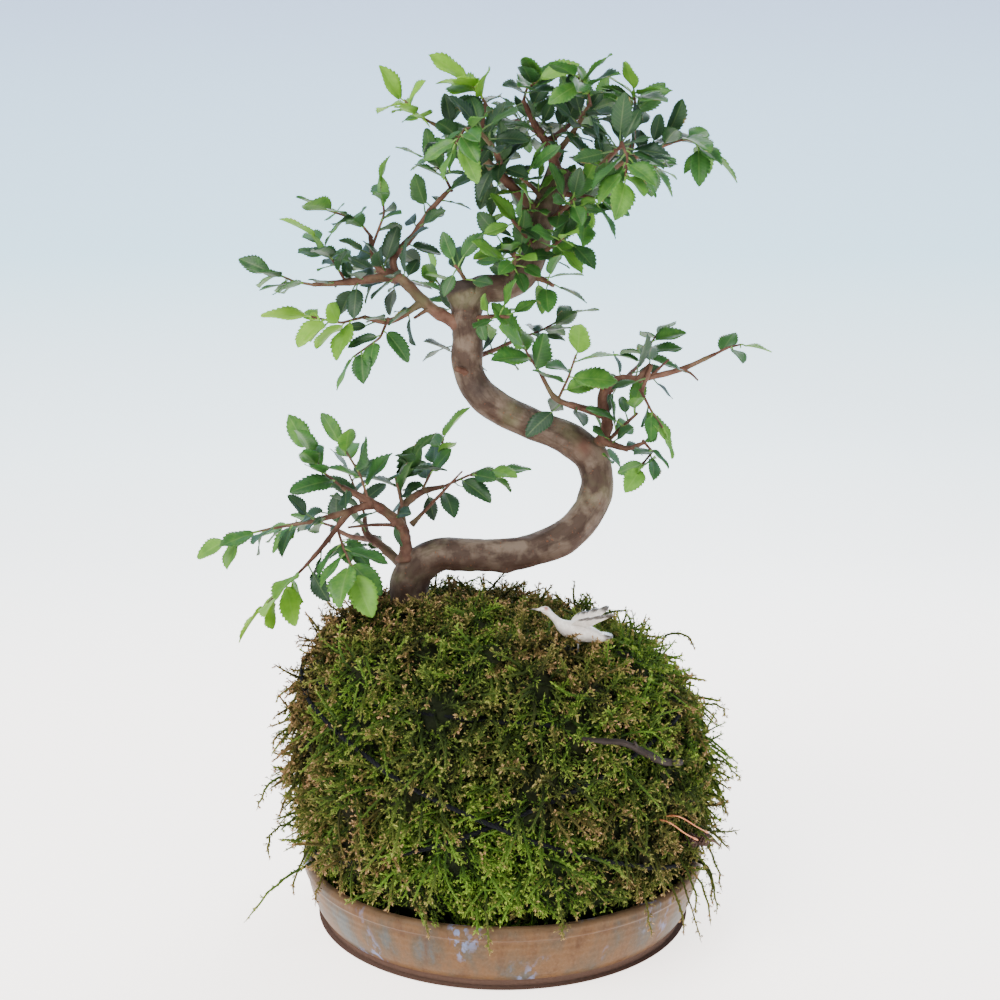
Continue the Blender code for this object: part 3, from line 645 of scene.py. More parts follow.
@dataclass(frozen=True)
class LeafFinish:
    """Elm leaf: soft sheen, paler parallel veins and a dry edge here and there."""

    age: LeafAge

    def tones(self) -> Stops:
        """Colours from the darkest leaf of this age to the palest.

        Returns:
            Their positions and values.
        """
        at, dark, middle, pale = {
            LeafAge.OLD: (0.5, (0.008, 0.030, 0.015), (0.014, 0.052, 0.018), (0.036, 0.105, 0.022)),
            LeafAge.GROWN: (0.45, (0.011, 0.046, 0.014), (0.030, 0.120, 0.018), (0.125, 0.300, 0.030)),
            LeafAge.YOUNG: (0.5, (0.105, 0.265, 0.020), (0.190, 0.410, 0.030), (0.300, 0.530, 0.060)),
        }[self.age]
        return (0.0, dark), (at, middle), (1.0, pale)

    def make(self) -> Material:
        """Build the material.

        Returns:
            The material.
        """
        shade = Shade("leaf_" + self.age.name.lower())
        u, v, tone = shade.split(shade.fact_vector("blade"))
        place = shade.place()
        mottle = shade.noise(place, 420.0, 5.0)
        tone = shade.plus(tone, shade.span(mottle, 0.3, 0.7, -0.16, 0.16))
        body = shade.ramp(tone, self.tones())
        across = shade.combine("ABSOLUTE", v)
        lines = shade.combine("FRACT", shade.combine(
            "SUBTRACT", shade.times(u, VEINS), shade.times(across, VEIN_SLANT)))
        vein = shade.span(shade.combine("ABSOLUTE", shade.combine("SUBTRACT", lines, 0.5)), 0.40, 0.49)
        rib = shade.span(across, 0.03, 0.10, 1.0, 0.0)
        vein = shade.combine("MAXIMUM", shade.times(vein, 0.55), rib)
        pale = shade.mix(0.35, body, (0.36, 0.50, 0.16))
        body = shade.mix(shade.times(vein, 0.38), body, pale)
        ragged = shade.span(shade.noise(place, 260.0, 2.0), 0.35, 0.75, -0.3, 0.22)
        dry = shade.span(shade.plus(across, ragged), 1.0, 1.14)
        body = shade.mix(shade.times(dry, 0.7), body, (0.30, 0.20, 0.06))
        rough = shade.span(mottle, 0.3, 0.7, 0.42, 0.60)
        normal = shade.relief(shade.noise(place, 2600.0, 3.0), 0.00006, 0.5)
        material = shade.wear(body, rough, normal, Specular_IOR_Level=0.34)
        glow = shade.node("BsdfTranslucent")
        shade.feed(glow.inputs["Color"], shade.mix(0.5, body, (0.30, 0.55, 0.04)))
        blend = shade.node("MixShader")
        blend.inputs[0].default_value = 0.32 if self.age is LeafAge.YOUNG else 0.16
        shade.feed(blend.inputs[1], shade.skin.outputs[0])
        shade.feed(blend.inputs[2], glow.outputs[0])
        out = shade.tree.nodes["Material Output"]
        shade.feed(out.inputs["Surface"], blend.outputs[0])
        return material


@dataclass(frozen=True)
class BarkFinish:
    """Young elm bark: thin grey-brown skin with rusty pores and darker folds."""

    name: str = "elm_bark"
    ground: Colour = (0.046, 0.028, 0.019)
    light: Colour = (0.120, 0.088, 0.064)
    dark: Colour = (0.017, 0.009, 0.006)
    # Tint of the darkening fact: painted shade on undersides and near the foot, and darker round a cut.
    shaded: Colour = (0.088, 0.040, 0.026)
    rust: Colour = (0.150, 0.048, 0.018)
    algae: float = 0.45

    def make(self) -> Material:
        """Build the material.

        Returns:
            The material.
        """
        shade = Shade(self.name)
        place = shade.place()
        along = shade.fact_vector("skin_at")
        streak = shade.noise(shade.stretch(along, (1.0, 1.0, 0.25)), 420.0, 6.0, 0.6)
        patch = shade.noise(place, 150.0, 4.0)
        colour = shade.mix(shade.span(patch, 0.43, 0.60), self.ground, self.light)
        colour = shade.mix(shade.span(streak, 0.50, 0.72, 0.0, 0.75), colour, self.dark)
        # This fact darkens the bark: painted shade on undersides and near the foot, and darker round a cut on
        # the trunk.
        stain_and_shade = shade.fact("stain_and_shade")
        colour = shade.mix(shade.times(stain_and_shade, 0.85), colour, self.shaded)
        # Darker towards the foot, where the trunk goes into the moss: painted shade, with damp bark near the
        # soil.
        _, _, height = shade.split(place)
        colour = shade.mix(shade.span(height, 0.100, 0.128, 0.75, 0.0), colour, self.dark)
        algae = shade.span(shade.noise(place, 70.0, 3.0), 0.52, 0.70, 0.0, self.algae)
        colour = shade.mix(algae, colour, (0.120, 0.130, 0.060))
        pores = shade.cells(shade.stretch(along, (1.0, 1.0, 1.9)), 620.0)
        pore = shade.span(pores, 0.10, 0.26, 1.0, 0.0)
        gate = shade.span(shade.noise(place, 260.0, 2.0), 0.50, 0.60)
        pore = shade.times(pore, gate)
        colour = shade.mix(shade.times(pore, 0.8), colour, self.rust)
        scar = shade.fact("scar")
        colour = shade.mix(scar, colour, (0.020, 0.013, 0.011))
        rough = shade.span(streak, 0.3, 0.8, 0.62, 0.92)
        fine = shade.noise(shade.stretch(along, (1.0, 1.0, 0.4)), 1500.0, 5.0, 0.6)
        normal = shade.relief(streak, 0.00050, 0.8)
        normal = shade.relief(fine, 0.00012, 0.6, normal)
        normal = shade.relief(pore, 0.00015, 0.6, normal)
        return shade.wear(colour, rough, normal, Specular_IOR_Level=0.24)


@dataclass(frozen=True)
class MossFinish:
    """Sheet moss: near-black inside as painted shade, green along the shoot, tan where it has dried."""

    name: str = "moss"

    def make(self) -> Material:
        """Build the material.

        Returns:
            The material.
        """
        shade = Shade(self.name)
        tip, tone, dry = shade.split(shade.fact_vector("moss_at"))
        place = shade.place()
        # Each ramp runs from near-black at the foot of a shoot, painted shade deep in the mat, to the shoot's
        # colour at its tip.
        green = shade.ramp(tip, (
            (0.0, (0.003, 0.005, 0.002)), (0.30, (0.012, 0.019, 0.005)),
            (0.65, (0.040, 0.066, 0.011)), (1.0, (0.170, 0.215, 0.040)),
        ))
        bright = shade.ramp(tip, (
            (0.0, (0.006, 0.012, 0.003)), (0.3, (0.026, 0.060, 0.008)),
            (0.65, (0.080, 0.165, 0.016)), (1.0, (0.300, 0.420, 0.055)),
        ))
        tan = shade.ramp(tip, (
            (0.0, (0.010, 0.007, 0.004)), (0.35, (0.050, 0.036, 0.011)),
            (0.7, (0.130, 0.080, 0.028)), (1.0, (0.500, 0.300, 0.155)),
        ))
        colour = shade.mix(tone, green, bright)
        colour = shade.mix(dry, colour, tan)
        # Pale flecks lighten the tips: painted highlights.
        fleck = shade.noise(place, 900.0, 3.0)
        lit = shade.times(shade.span(fleck, 0.55, 0.75, 0.0, 0.5), shade.span(tip, 0.25, 0.8))
        colour = shade.mix(lit, colour, (0.190, 0.170, 0.040))
        rough = shade.span(fleck, 0.3, 0.7, 0.68, 0.9)
        normal = shade.relief(shade.noise(place, 3200.0, 3.0), 0.0001, 0.5)
        return shade.wear(colour, rough, normal, Specular_IOR_Level=0.10)


@dataclass(frozen=True)
class GlazeFinish:
    """Stoneware glaze: tan over blue-grey, rust streaks and small blue crystals; bare foot."""

    foot: float = 0.0026
    rim: float = 0.0195

    def make(self) -> Material:
        """Build the material.

        Returns:
            The material.
        """
        shade = Shade("stoneware_glaze")
        place = shade.place()
        _, _, z = shade.split(place)
        cloud = shade.noise(shade.stretch(place, (1.0, 1.0, 0.55)), 75.0, 6.0, 0.62)
        colour = shade.ramp(cloud, (
            (0.34, (0.062, 0.068, 0.066)), (0.43, (0.076, 0.052, 0.032)),
            (0.55, (0.120, 0.062, 0.027)), (0.68, (0.070, 0.032, 0.014)),
        ))
        streak = shade.noise(shade.stretch(place, (1.0, 1.0, 0.10)), 230.0, 5.0, 0.6)
        colour = shade.mix(shade.span(streak, 0.54, 0.70, 0.0, 0.75), colour, (0.072, 0.031, 0.013))
        band = shade.span(z, self.rim - 0.0042, self.rim - 0.0022)
        below = shade.span(z, self.rim - 0.0020, self.rim - 0.0004, 1.0, 0.0)
        ring = shade.times(band, below)
        ring = shade.times(ring, shade.span(shade.noise(place, 160.0, 3.0), 0.40, 0.60))
        colour = shade.mix(shade.times(ring, 0.8), colour, (0.080, 0.036, 0.017))
        # A lighter band over the top of the rim bead: painted highlight.
        edge = shade.span(z, self.rim - 0.0003, self.rim + 0.0012)
        colour = shade.mix(shade.times(edge, 0.75), colour, (0.145, 0.088, 0.048))
        gate = shade.span(shade.noise(shade.stretch(place, (1.0, 1.0, 0.6)), 62.0, 2.0), 0.56, 0.66)
        speck = shade.span(shade.noise(shade.stretch(place, (1.0, 1.0, 0.6)), 520.0, 3.0), 0.50, 0.62)
        colour = shade.mix(shade.times(shade.times(gate, speck), 0.8), colour,
                           (0.150, 0.200, 0.360))
        dot = shade.span(shade.cells(place, 300.0), 0.035, 0.075, 1.0, 0.0)
        colour = shade.mix(shade.times(dot, 0.8), colour, (0.045, 0.030, 0.022))
        grit = shade.noise(place, 1100.0, 5.0, 0.65)
        colour = shade.mix(shade.span(grit, 0.50, 0.74, 0.0, 0.45), colour, (0.150, 0.096, 0.056))
        colour = shade.mix(shade.span(grit, 0.30, 0.46, 0.40, 0.0), colour, (0.050, 0.030, 0.018))
        clay = shade.mix(shade.noise(place, 900.0, 4.0), (0.076, 0.044, 0.033), (0.118, 0.070, 0.052))
        wavy = shade.span(shade.noise(place, 90.0, 2.0), 0.3, 0.7, -0.0002, 0.0002)
        bare = shade.span(shade.plus(z, wavy), self.foot - 0.0001, self.foot + 0.0002, 1.0, 0.0)
        colour = shade.mix(bare, colour, clay)
        gloss = shade.span(cloud, 0.3, 0.7, 0.42, 0.56)
        rough = shade.plus(gloss, shade.times(bare, 0.42))
        normal = shade.relief(cloud, 0.0005, 0.35)
        normal = shade.relief(shade.noise(place, 1400.0, 4.0), 0.00006, 0.5, normal)
        return shade.wear(colour, rough, normal, Specular_IOR_Level=0.12)


@dataclass(frozen=True)
class GrainFinish:
    """A grained, matt or satin skin in two tones."""

    name: str
    first: Colour
    second: Colour
    scale: float
    rough: tuple[float, float]
    depth: float = 0.0001
    ink: Colour | None = None
    blush: Colour | None = None
    metallic: float = 0.0
    coat: float = 0.0
    gloss: float = 0.5

    def make(self) -> Material:
        """Build the material.

        Returns:
            The material.
        """
        shade = Shade(self.name)
        place = shade.place()
        grain = shade.noise(place, self.scale, 5.0, 0.6)
        colour = shade.mix(shade.span(grain, 0.35, 0.65), self.first, self.second)
        if self.ink is not None:
            colour = shade.mix(shade.fact("ink"), colour, self.ink)
        if self.blush is not None:
            colour = shade.mix(shade.fact("blush"), colour, self.blush)
        rough = shade.span(grain, 0.3, 0.7, *self.rough)
        normal = shade.relief(grain, self.depth, 0.7)
        normal = shade.relief(shade.noise(place, self.scale * 4.0, 3.0), self.depth * 0.4, 0.5, normal)
        return shade.wear(colour, rough, normal, Metallic=self.metallic, Coat_Weight=self.coat,
                          Specular_IOR_Level=self.gloss)


# ------------------------------------------------------------------ moss ball
@dataclass
class BallShape:
    """Outline of the moss mat, as built in the frame."""

    radius: float = 0.067
    height: float = 0.098
    lean: float = -0.006
    bottom: float = 0.0051
    dish: float = 0.021
    outline: tuple[tuple[float, float], ...] = (
        (0.00, 0.78), (0.06, 0.87), (0.16, 0.935), (0.30, 0.985), (0.46, 1.00),
        (0.62, 0.985), (0.76, 0.93), (0.87, 0.83), (0.94, 0.68), (0.985, 0.42),
    )

    def point(self, angle: Array, share: Array, inner: Array | float = 1.0) -> Array:
        """Points of the mat's outside.

        Args:
            angle: Direction round the ball.
            share: Height as a share of the ball's.
            inner: Share of the ring's radius, below one on the flat crown.

        Returns:
            One row per point.
        """
        heights, widths = np.array(self.outline).T
        low = self.dish / self.height
        blend = np.where(share < low, 0.0, share - low)
        swell = 0.012 * np.sin(2 * angle + 0.6) + 0.008 * np.sin(3 * angle + 5.0 * share)
        reach = self.radius * np.interp(share, heights, widths) * (1 + swell * np.minimum(1, 4 * blend))
        reach = reach * inner
        x = reach * np.cos(angle) + self.lean * share**3
        z = self.bottom + self.height * (share + 0.012 * (1.0 - inner))
        z = z - 0.0075 * share**4 * x / self.radius
        return np.stack([x, reach * np.sin(angle), z], -1)

    def normal(self, angle: Array, share: Array) -> Array:
        """Outward directions of the mat's outside.

        Args:
            angle: Direction round the ball.
            share: Height as a share of the ball's.

        Returns:
            One direction per point.
        """
        east = self.point(angle + 0.02, share) - self.point(angle - 0.02, share)
        north = self.point(angle, np.minimum(share + 0.01, TOP_SHARE)) - self.point(angle, share - 0.01)
        return unit(np.cross(east, north))

    def front_angle(self, x: float, share: float) -> float:
        """Direction of the front point that has this x.

        Args:
            x: Distance to the right.
            share: Height as a share of the ball's.

        Returns:
            Its angle round the ball.
        """
        angles = np.linspace(math.pi, math.tau, 721)[:-1]
        found = self.point(angles, np.full(len(angles), share))[:, 0]
        return float(angles[np.abs(found - x).argmin()])

    def over(self, x: float, share: float, lift: float) -> Array:
        """Point above the front of the mat.

        Args:
            x: Distance to the right.
            share: Height as a share of the ball's.
            lift: Distance off the mat.

        Returns:
            The point.
        """
        angle = np.array([self.front_angle(x, share)])
        height = np.array([share])
        return (self.point(angle, height) + self.normal(angle, height) * lift)[0]


# Where the trunk goes into the ball.
TRUNK_FOOT = np.array([-0.032, 0.0])

# Loose strands that hang or stand clear of the ball, in millimetres.
STRANDS = (
    ((-70, -14, 49), (-76, -16, 49), (-81, -17, 45), (-84, -17, 38)),
    ((-60, -38, 29), (-67, -42, 27), (-75, -43, 20), (-83, -42, 10)),
    ((-68, -20, 33), (-75, -22, 34), (-79, -22, 29), (-79, -21, 22)),
    ((66, -22, 57), (71, -25, 58), (76, -26, 55), (79, -26, 51)),
    ((62, -30, 26), (67, -33, 25), (69, -34, 18), (70, -34, 9)),
    ((50, -38, 28), (56, -42, 26), (60, -44, 16), (63, -45, 5)),
    ((54, -32, 30), (60, -37, 27), (65, -39, 18), (67, -40, 8)),
    ((-5, -62, 31), (-5, -70, 29), (-5, -73, 23), (-4, -73, 15)),
    ((-22, -60, 31), (-23, -67, 29), (-23, -70, 24), (-22, -70, 18)),
    ((16, -62, 31), (17, -70, 28), (17, -72, 23), (17, -72, 19)),
    ((-50, -34, 31), (-56, -40, 28), (-59, -43, 23), (-60, -43, 16)),
    ((62, 6, 34), (69, 8, 33), (75, 9, 28), (78, 9, 21)),
    ((30, 58, 40), (34, 66, 41), (38, 71, 37), (40, 72, 30)),
    ((-38, 54, 44), (-43, 61, 46), (-49, 65, 43), (-52, 66, 36)),
    ((-62, 22, 80), (-67, 24, 84), (-72, 25, 83), (-75, 26, 78)),
    ((56, 14, 88), (62, 16, 92), (68, 17, 91), (71, 18, 86)),
    ((57, -28, 31), (63, -31, 29), (68, -33, 21), (69, -34, 12)),
    ((46, -43, 30), (51, -48, 28), (55, -52, 20), (56, -53, 11)),
    ((60, -22, 35), (66, -25, 32), (71, -27, 23), (73, -28, 14)),
    ((52, -36, 32), (57, -41, 30), (61, -45, 21), (61, -46, 15)),
    ((38, -50, 30), (42, -56, 28), (44, -59, 21), (45, -60, 14)),
    ((-56, -26, 32), (-63, -29, 30), (-68, -31, 22), (-69, -31, 14)),
    ((-66, -12, 62), (-72, -13, 65), (-77, -14, 63), (-79, -14, 58)),
    ((-64, -10, 74), (-70, -11, 79), (-75, -12, 78), (-78, -12, 74)),
    ((64, -12, 70), (69, -13, 74), (74, -14, 73), (77, -14, 69)),
    ((65, -14, 44), (70, -15, 45), (75, -16, 41), (77, -16, 35)),
)


@dataclass(frozen=True)
class FrondKind:
    """One kind of frond: its scales and twiglets, the length of a scale, and how it is spread."""

    name: str
    scales: int
    twiglets: int
    bulk: float
    count: int = 0
    reach: tuple[float, float] = (0.0, 0.0)
    pieces: int = 1
    size: float = 1.0
    tipped: float = 1.0


@dataclass
class FrondSketch:
    """One frond while it is put together: where each vertex is, and how near a tip."""

    along: list[float] = field(default_factory=list)
    local: list[Array] = field(default_factory=list)
    quads: list[list[int]] = field(default_factory=list)
    tips: list[float] = field(default_factory=list)

    def add_scales(self, axis: Array, reach: float, at: float, size: float, count: int,
                   tip_from: float, rng: Draws) -> None:
        """Add pointed scales round the stem or round one twiglet.

        Args:
            axis: Direction of the twiglet in the frond's own axes.
            reach: Length of the twiglet.
            at: Place on the frond.
            size: Length of a scale.
            count: Number of scales.
            tip_from: Nearness to a tip at the twiglet's foot.
            rng: Source of variation.
        """
        helper = np.array([0.1, 0.2, 1.0]) if abs(axis[2]) < 0.9 else np.array([1.0, 0.2, 0.0])
        side = unit(np.cross(axis, helper))
        other = np.cross(axis, side)
        for k in range(count):
            near = (k + 0.5) / count
            turn = k * 2.4 + rng.uniform(-0.4, 0.4)
            ray = side * math.cos(turn) + other * math.sin(turn)
            across = other * math.cos(turn) - side * math.sin(turn)
            open_angle = rng.uniform(0.50, 0.95) * (1 - 0.55 * near)
            long = size * (1 - 0.30 * near) * rng.uniform(0.85, 1.15)
            base = axis * (reach * near)
            spear = ray * math.sin(open_angle) + axis * math.cos(open_angle)
            start = len(self.along)
            wide = across * (long * 0.24)
            for point in (base, base + spear * (long * 0.42) + wide, base + spear * long,
                          base + spear * (long * 0.42) - wide):
                self.along.append(at)
                self.local.append(point)
                self.tips.append(min(1.0, tip_from + 0.30 * near))
            self.tips[start + 2] = min(1.0, self.tips[start + 2] + 0.16)
            self.quads.append([start, start + 1, start + 2, start + 3])


@dataclass
class MossBall:
    """Moss mat: soft cushions of feathery fronds over a bed painted near-black as shade."""

    shape: BallShape
    rounds: list[Array]
    round_tops: list[float]
    fronds: FrondKind = FrondKind("moss_fronds", 38, 8, 0.0017, 4400, (0.0085, 0.0195), 10)
    undergrowth: FrondKind = FrondKind("moss_undergrowth", 14, 4, 0.0012, 4600, (0.0030, 0.0065), 5, 0.9, 0.0)
    strands: FrondKind = FrondKind("moss_strands", 48, 12, 0.0017)
    steps: int = 9
    cushions: int = 105
    loft: float = 0.0034
    spread: float = 0.0098
    stem_room: float = 0.0072
    lowest_foot: float = 0.0105
    dish_floor: float = 0.0078
    rim_top: float = 0.0225
    rim_inside: float = 0.0650
    centres: Array = field(init=False)
    moods: Array = field(init=False)
    cords: Array = field(init=False)

    def __post_init__(self) -> None:
        """Scatter the cushions over the ball, and give each a mood of its own."""
        self.cords = np.concatenate(self.rounds)
        rng = np.random.default_rng(4)
        count = self.cushions
        angle = np.arange(count) * GOLDEN_ANGLE + rng.normal(0, 0.16, count)
        rise = np.clip((np.arange(count) + 0.5 + rng.normal(0, 0.8, count)) / count, 0.01, 0.99)
        share = np.interp(rise, (0.0, 0.72, 1.0), (0.08, 0.93, TOP_SHARE))
        ring = np.interp(rise, (0.0, 0.82, 1.0), (1.0, 1.0, 0.15))
        self.centres = self.shape.point(angle, share, ring)
        self.moods = rng.normal(0, 0.20, (count, 2))

    def cushion(self, at: Array) -> tuple[Array, Array, Array]:
        """Height of the cushions over the ball at these places.

        Args:
            at: Places on the ball's outside.

        Returns:
            Heights, vectors from the nearest cushion's middle, and its row.
        """
        warped = at + 0.0022 * np.stack([layered_noise(at * 120.0, 14 + k, 2) for k in range(3)], 1)
        gap = np.full(len(at), 1e9)
        which = np.zeros(len(at), int)
        for row, centre in enumerate(self.centres):
            far = np.linalg.norm(warped - centre, axis=1)
            closer = far < gap
            gap[closer] = far[closer]
            which[closer] = row
        height = self.loft * np.clip(1.0 - (gap / self.spread) ** 2, -0.15, 1.0)
        height += 0.0007 * layered_noise(at * 230.0, 3, 3)
        low = past(at[:, 2], 0.012, 0.014)
        stem = np.linalg.norm(at[:, :2] - TRUNK_FOOT, axis=1)
        stem = np.where(at[:, 2] > 0.07, past(stem, 0.006, 0.008), 1.0)
        rope = 1.0 - 0.55 * bell(nearest(at, self.cords), 0.0015)
        return height * low * stem * rope, at - self.centres[which], which

    def build_bed(self, finish: Material) -> None:
        """Lumpy skin under the fronds, near-black as painted shade.

        Args:
            finish: Moss material.
        """
        around, up, crown = 380, 150, 16
        share = np.concatenate([np.linspace(0.0, TOP_SHARE, up), np.full(crown, TOP_SHARE)])
        inner = np.concatenate([np.ones(up), np.linspace(0.93, 0.02, crown)])
        angle = turns(around)
        flat_angle = np.tile(angle, len(share))
        flat_share = np.repeat(share, around)
        verts = self.shape.point(flat_angle, flat_share, np.repeat(inner, around))
        out = self.shape.normal(flat_angle, np.clip(flat_share, 0.012, 0.97))
        lump, _, _ = self.cushion(verts)
        fade = past(verts[:, 2], 0.008, 0.02)
        fine = layered_noise(verts * 700.0, 8, 2)
        verts = verts + out * ((lump + 0.0005 * fine) * fade - 0.0007)[:, None]
        # The bed is near-black, painted shade between the fronds, a little lighter on the lumps.
        dark = np.clip(0.04 + 0.07 * fine + 20.0 * lump, 0.01, 0.24)
        facts = np.stack([dark, np.full(len(verts), 0.1), self.dryness(verts) * 0.6], 1)
        verts = np.vstack([verts, verts[:around].mean(0), verts[-around:].mean(0)])
        facts = np.vstack([facts, facts[0], facts[-1]])
        parts = MeshParts()
        parts.add(verts, tube_quads(len(share), around), end_caps(len(share), around), moss_at=facts)
        present(parts.build("moss_bed", finish), "moss", "moss_mat")

    def dryness(self, at: Array) -> Array:
        """How tan the moss is: most on the left side and over the crown.

        Args:
            at: Places on the ball.

        Returns:
            Values from 0 to 1.
        """
        left = past(-at[:, 0], 0.020, 0.040) * 0.40
        crown = past(at[:, 2], 0.080, 0.02) * 0.30
        # Tanner low on the right, the side in shade: painted shade.
        shade_side = mound(at, 0.048, 0.030, 0.020, 0.018) * 0.35
        patch = 0.34 * layered_noise(at * 42.0 + 7.0, 21, 2)
        wet = mound(at, 0.010, 0.030, 0.026, 0.024) * 0.40
        return np.clip(0.18 + left + crown + shade_side + patch - wet, 0, 1)

    def freshness(self, at: Array) -> Array:
        """How bright the green is: low in the middle and high on the right.

        Args:
            at: Places on the ball.

        Returns:
            Values from 0 to 1.
        """
        low = mound(at, 0.006, 0.026, 0.024, 0.024)
        right = mound(at, 0.046, 0.082, 0.022, 0.018)
        # Duller green low on the right, the side in shade: painted shade.
        shade_side_dull = mound(at, 0.046, 0.030, 0.020, 0.018)
        patch = 0.36 * layered_noise(at * 36.0, 5, 2)
        return np.clip(0.22 + 0.70 * low + 0.60 * right - 0.45 * shade_side_dull + patch, 0, 1)

    def roots(self, count: int, rng: Draws) -> tuple[Array, Array]:
        """Even spread of frond feet over the ball.

        Args:
            count: Number of feet.
            rng: Source of jitter.

        Returns:
            Feet and outward directions.
        """
        side, crown = 500, 200
        samples = np.concatenate([np.linspace(0.03, TOP_SHARE, side), np.full(crown, TOP_SHARE)])
        inner = np.concatenate([np.ones(side), np.linspace(1.0, 0.0, crown)])
        rows = np.arange(side + crown)
        profile = self.shape.point(np.zeros(len(rows)), samples, inner)
        step = np.linalg.norm(np.diff(profile, axis=0), axis=1)
        weight = np.concatenate([[0.0], np.cumsum(step * np.abs(profile[1:, 0] + 0.003))])
        weight = weight / weight[-1]
        order = (np.arange(count) + rng.uniform(-0.4, 0.4, count)).clip(0) / count
        pick = np.interp(order, weight, rows)
        angle = np.arange(count) * GOLDEN_ANGLE + rng.normal(0, 0.02, count)
        share = np.interp(pick, rows, samples)
        ring = np.interp(pick, rows, inner)
        feet = self.shape.point(angle, share, ring)
        out = self.shape.normal(angle, np.minimum(share, 0.97))
        flat = (1.0 - ring)[:, None]
        out = unit(out * (1 - flat) + np.array([0.0, 0.0, 1.0]) * flat)
        return feet, out

    def over_cord(self, feet: Array) -> Array:
        """Whether fronds with these feet grow over the cord instead of lying under it."""
        return lattice_noise(feet * 60.0, 88) > -0.42

    def grow(self, feet: Array, out: Array, reach: tuple[float, float], rng: Draws) -> Array:
        """Paths of fronds: out of their cushion, over its edge and down with their weight.

        Args:
            feet: Where they start.
            out: Outward direction at each foot.
            reach: Shortest and longest frond.
            rng: Source of variation.

        Returns:
            Paths (frond, step, 3).
        """
        count = len(feet)
        height, away, _ = self.cushion(feet)
        away = away - out * (away * out).sum(1)[:, None]
        pull = np.clip(np.linalg.norm(away, axis=1) / 0.008, 0, 1)[:, None]
        random_side = unit(np.cross(out, rng.normal(size=(count, 3))))
        down = np.array([0.0, 0.0, -1.0])
        fall = unit(down - out * (out @ down)[:, None] + 1e-6)
        steep = np.sqrt(np.clip(1 - out[:, 2] ** 2, 0, 1))[:, None]
        lie = unit(random_side * 0.75 + unit(away + 1e-9) * (0.95 * pull) + fall * (0.50 * steep))
        snag = self.over_cord(feet)
        rope_gap = nearest(feet, self.cords)
        pressed = bell(rope_gap, 0.0014) * np.where(snag, 0.10, 1.0)
        top = past(out[:, 2], 0.5, 0.5)
        rise = (0.22 + 1.25 * rng.uniform(0.0, 1.0, count) ** 1.4) * (1.0 - 0.40 * pull[:, 0])
        rise = rise * (1 - 0.5 * pressed) * (1 - 0.30 * top)
        heading = unit(out * rise[:, None] + lie * 0.8)
        length = rng.uniform(*reach, count) * (1 - 0.25 * pressed) * (1 - 0.25 * top)
        curl = unit(rng.normal(size=(count, 3))) * rng.uniform(0.03, 0.20, count)[:, None]
        least = 0.0003 + rng.uniform(0.0, 0.0016, count) * (1 - 0.9 * pressed)
        for points, crest in zip(self.rounds, self.round_tops):
            above = (crest + rng.uniform(-0.0004, 0.0008, count)) * snag
            least = np.maximum(least, above * bell(nearest(feet, points), 0.0028))
        start = feet + out * (height - 0.0009)[:, None]
        at = start
        path = [at]
        for k in range(self.steps):
            heading = unit(heading + curl + down * (0.06 * steep) - out * (0.05 * k / self.steps))
            at = at + heading * (length / self.steps)[:, None]
            over = ((at - start) * out).sum(1)
            sag = -0.0012 * (k + 1) / self.steps * pull[:, 0]
            floor = (least + 0.0009) * min(1.0, (k + 1) / 3) + sag
            at = at + out * np.clip(floor - over, 0, None)[:, None]
            path.append(at)
        return np.stack(path, 1)

    def template(self, rng: Draws, kind: FrondKind) -> Frond:
        """One frond: a stem closely set with scales, and two rows of short scaly twiglets.

        Args:
            rng: Source of variation.
            kind: Which kind of frond.

        Returns:
            Place along the frond, local offsets in metres, faces and nearness to a tip.
        """
        sketch = FrondSketch()
        sides = 4
        for k in range(self.steps + 1):
            slim = kind.bulk * 0.27 * (1 - 0.45 * (k / self.steps) ** 2) if k < self.steps else 0.00004
            for n in range(sides):
                turn = math.tau * n / sides
                sketch.along.append(float(k))
                sketch.local.append(np.array([math.cos(turn) * slim, math.sin(turn) * slim, 0.0]))
                sketch.tips.append(0.05 + 0.62 * k / self.steps)
        sketch.quads.extend(tube_quads(self.steps + 1, sides).tolist())
        for k in range(kind.scales):
            at = 0.3 + (self.steps - 0.4) * k / (kind.scales - 1)
            size = kind.bulk * (1 - 0.5 * (at / self.steps) ** 3)
            sketch.add_scales(np.array([0.0, 0.0, 1.0]), 0.0, at, size, 1, 0.10 + 0.60 * at / self.steps, rng)
            turn = 2.4 * k + rng.uniform(-0.5, 0.5)
            cos, sin = math.cos(turn), math.sin(turn)
            twist = np.array([[cos, -sin, 0], [sin, cos, 0], [0, 0, 1]])
            for row in range(4):
                sketch.local[-1 - row] = twist @ sketch.local[-1 - row]
        for k in range(kind.twiglets):
            share = (k + 0.5) / kind.twiglets
            at = 1.2 + (self.steps - 1.5) * share
            taper = math.sin(math.pi * (0.16 + 0.80 * share) ** 0.9) ** 0.7
            reach = 0.0030 * taper * rng.uniform(0.55, 1.25)
            flip = 1.0 if k % 2 else -1.0
            axis = unit(np.array([
                flip * rng.uniform(0.75, 1.0), rng.uniform(-0.30, 0.45), rng.uniform(0.55, 0.95)]))
            sketch.add_scales(axis, reach, at, 0.00128, 5, 0.18 + 0.50 * share, rng)
        return np.array(sketch.along), np.array(sketch.local), np.array(sketch.quads), np.array(sketch.tips)

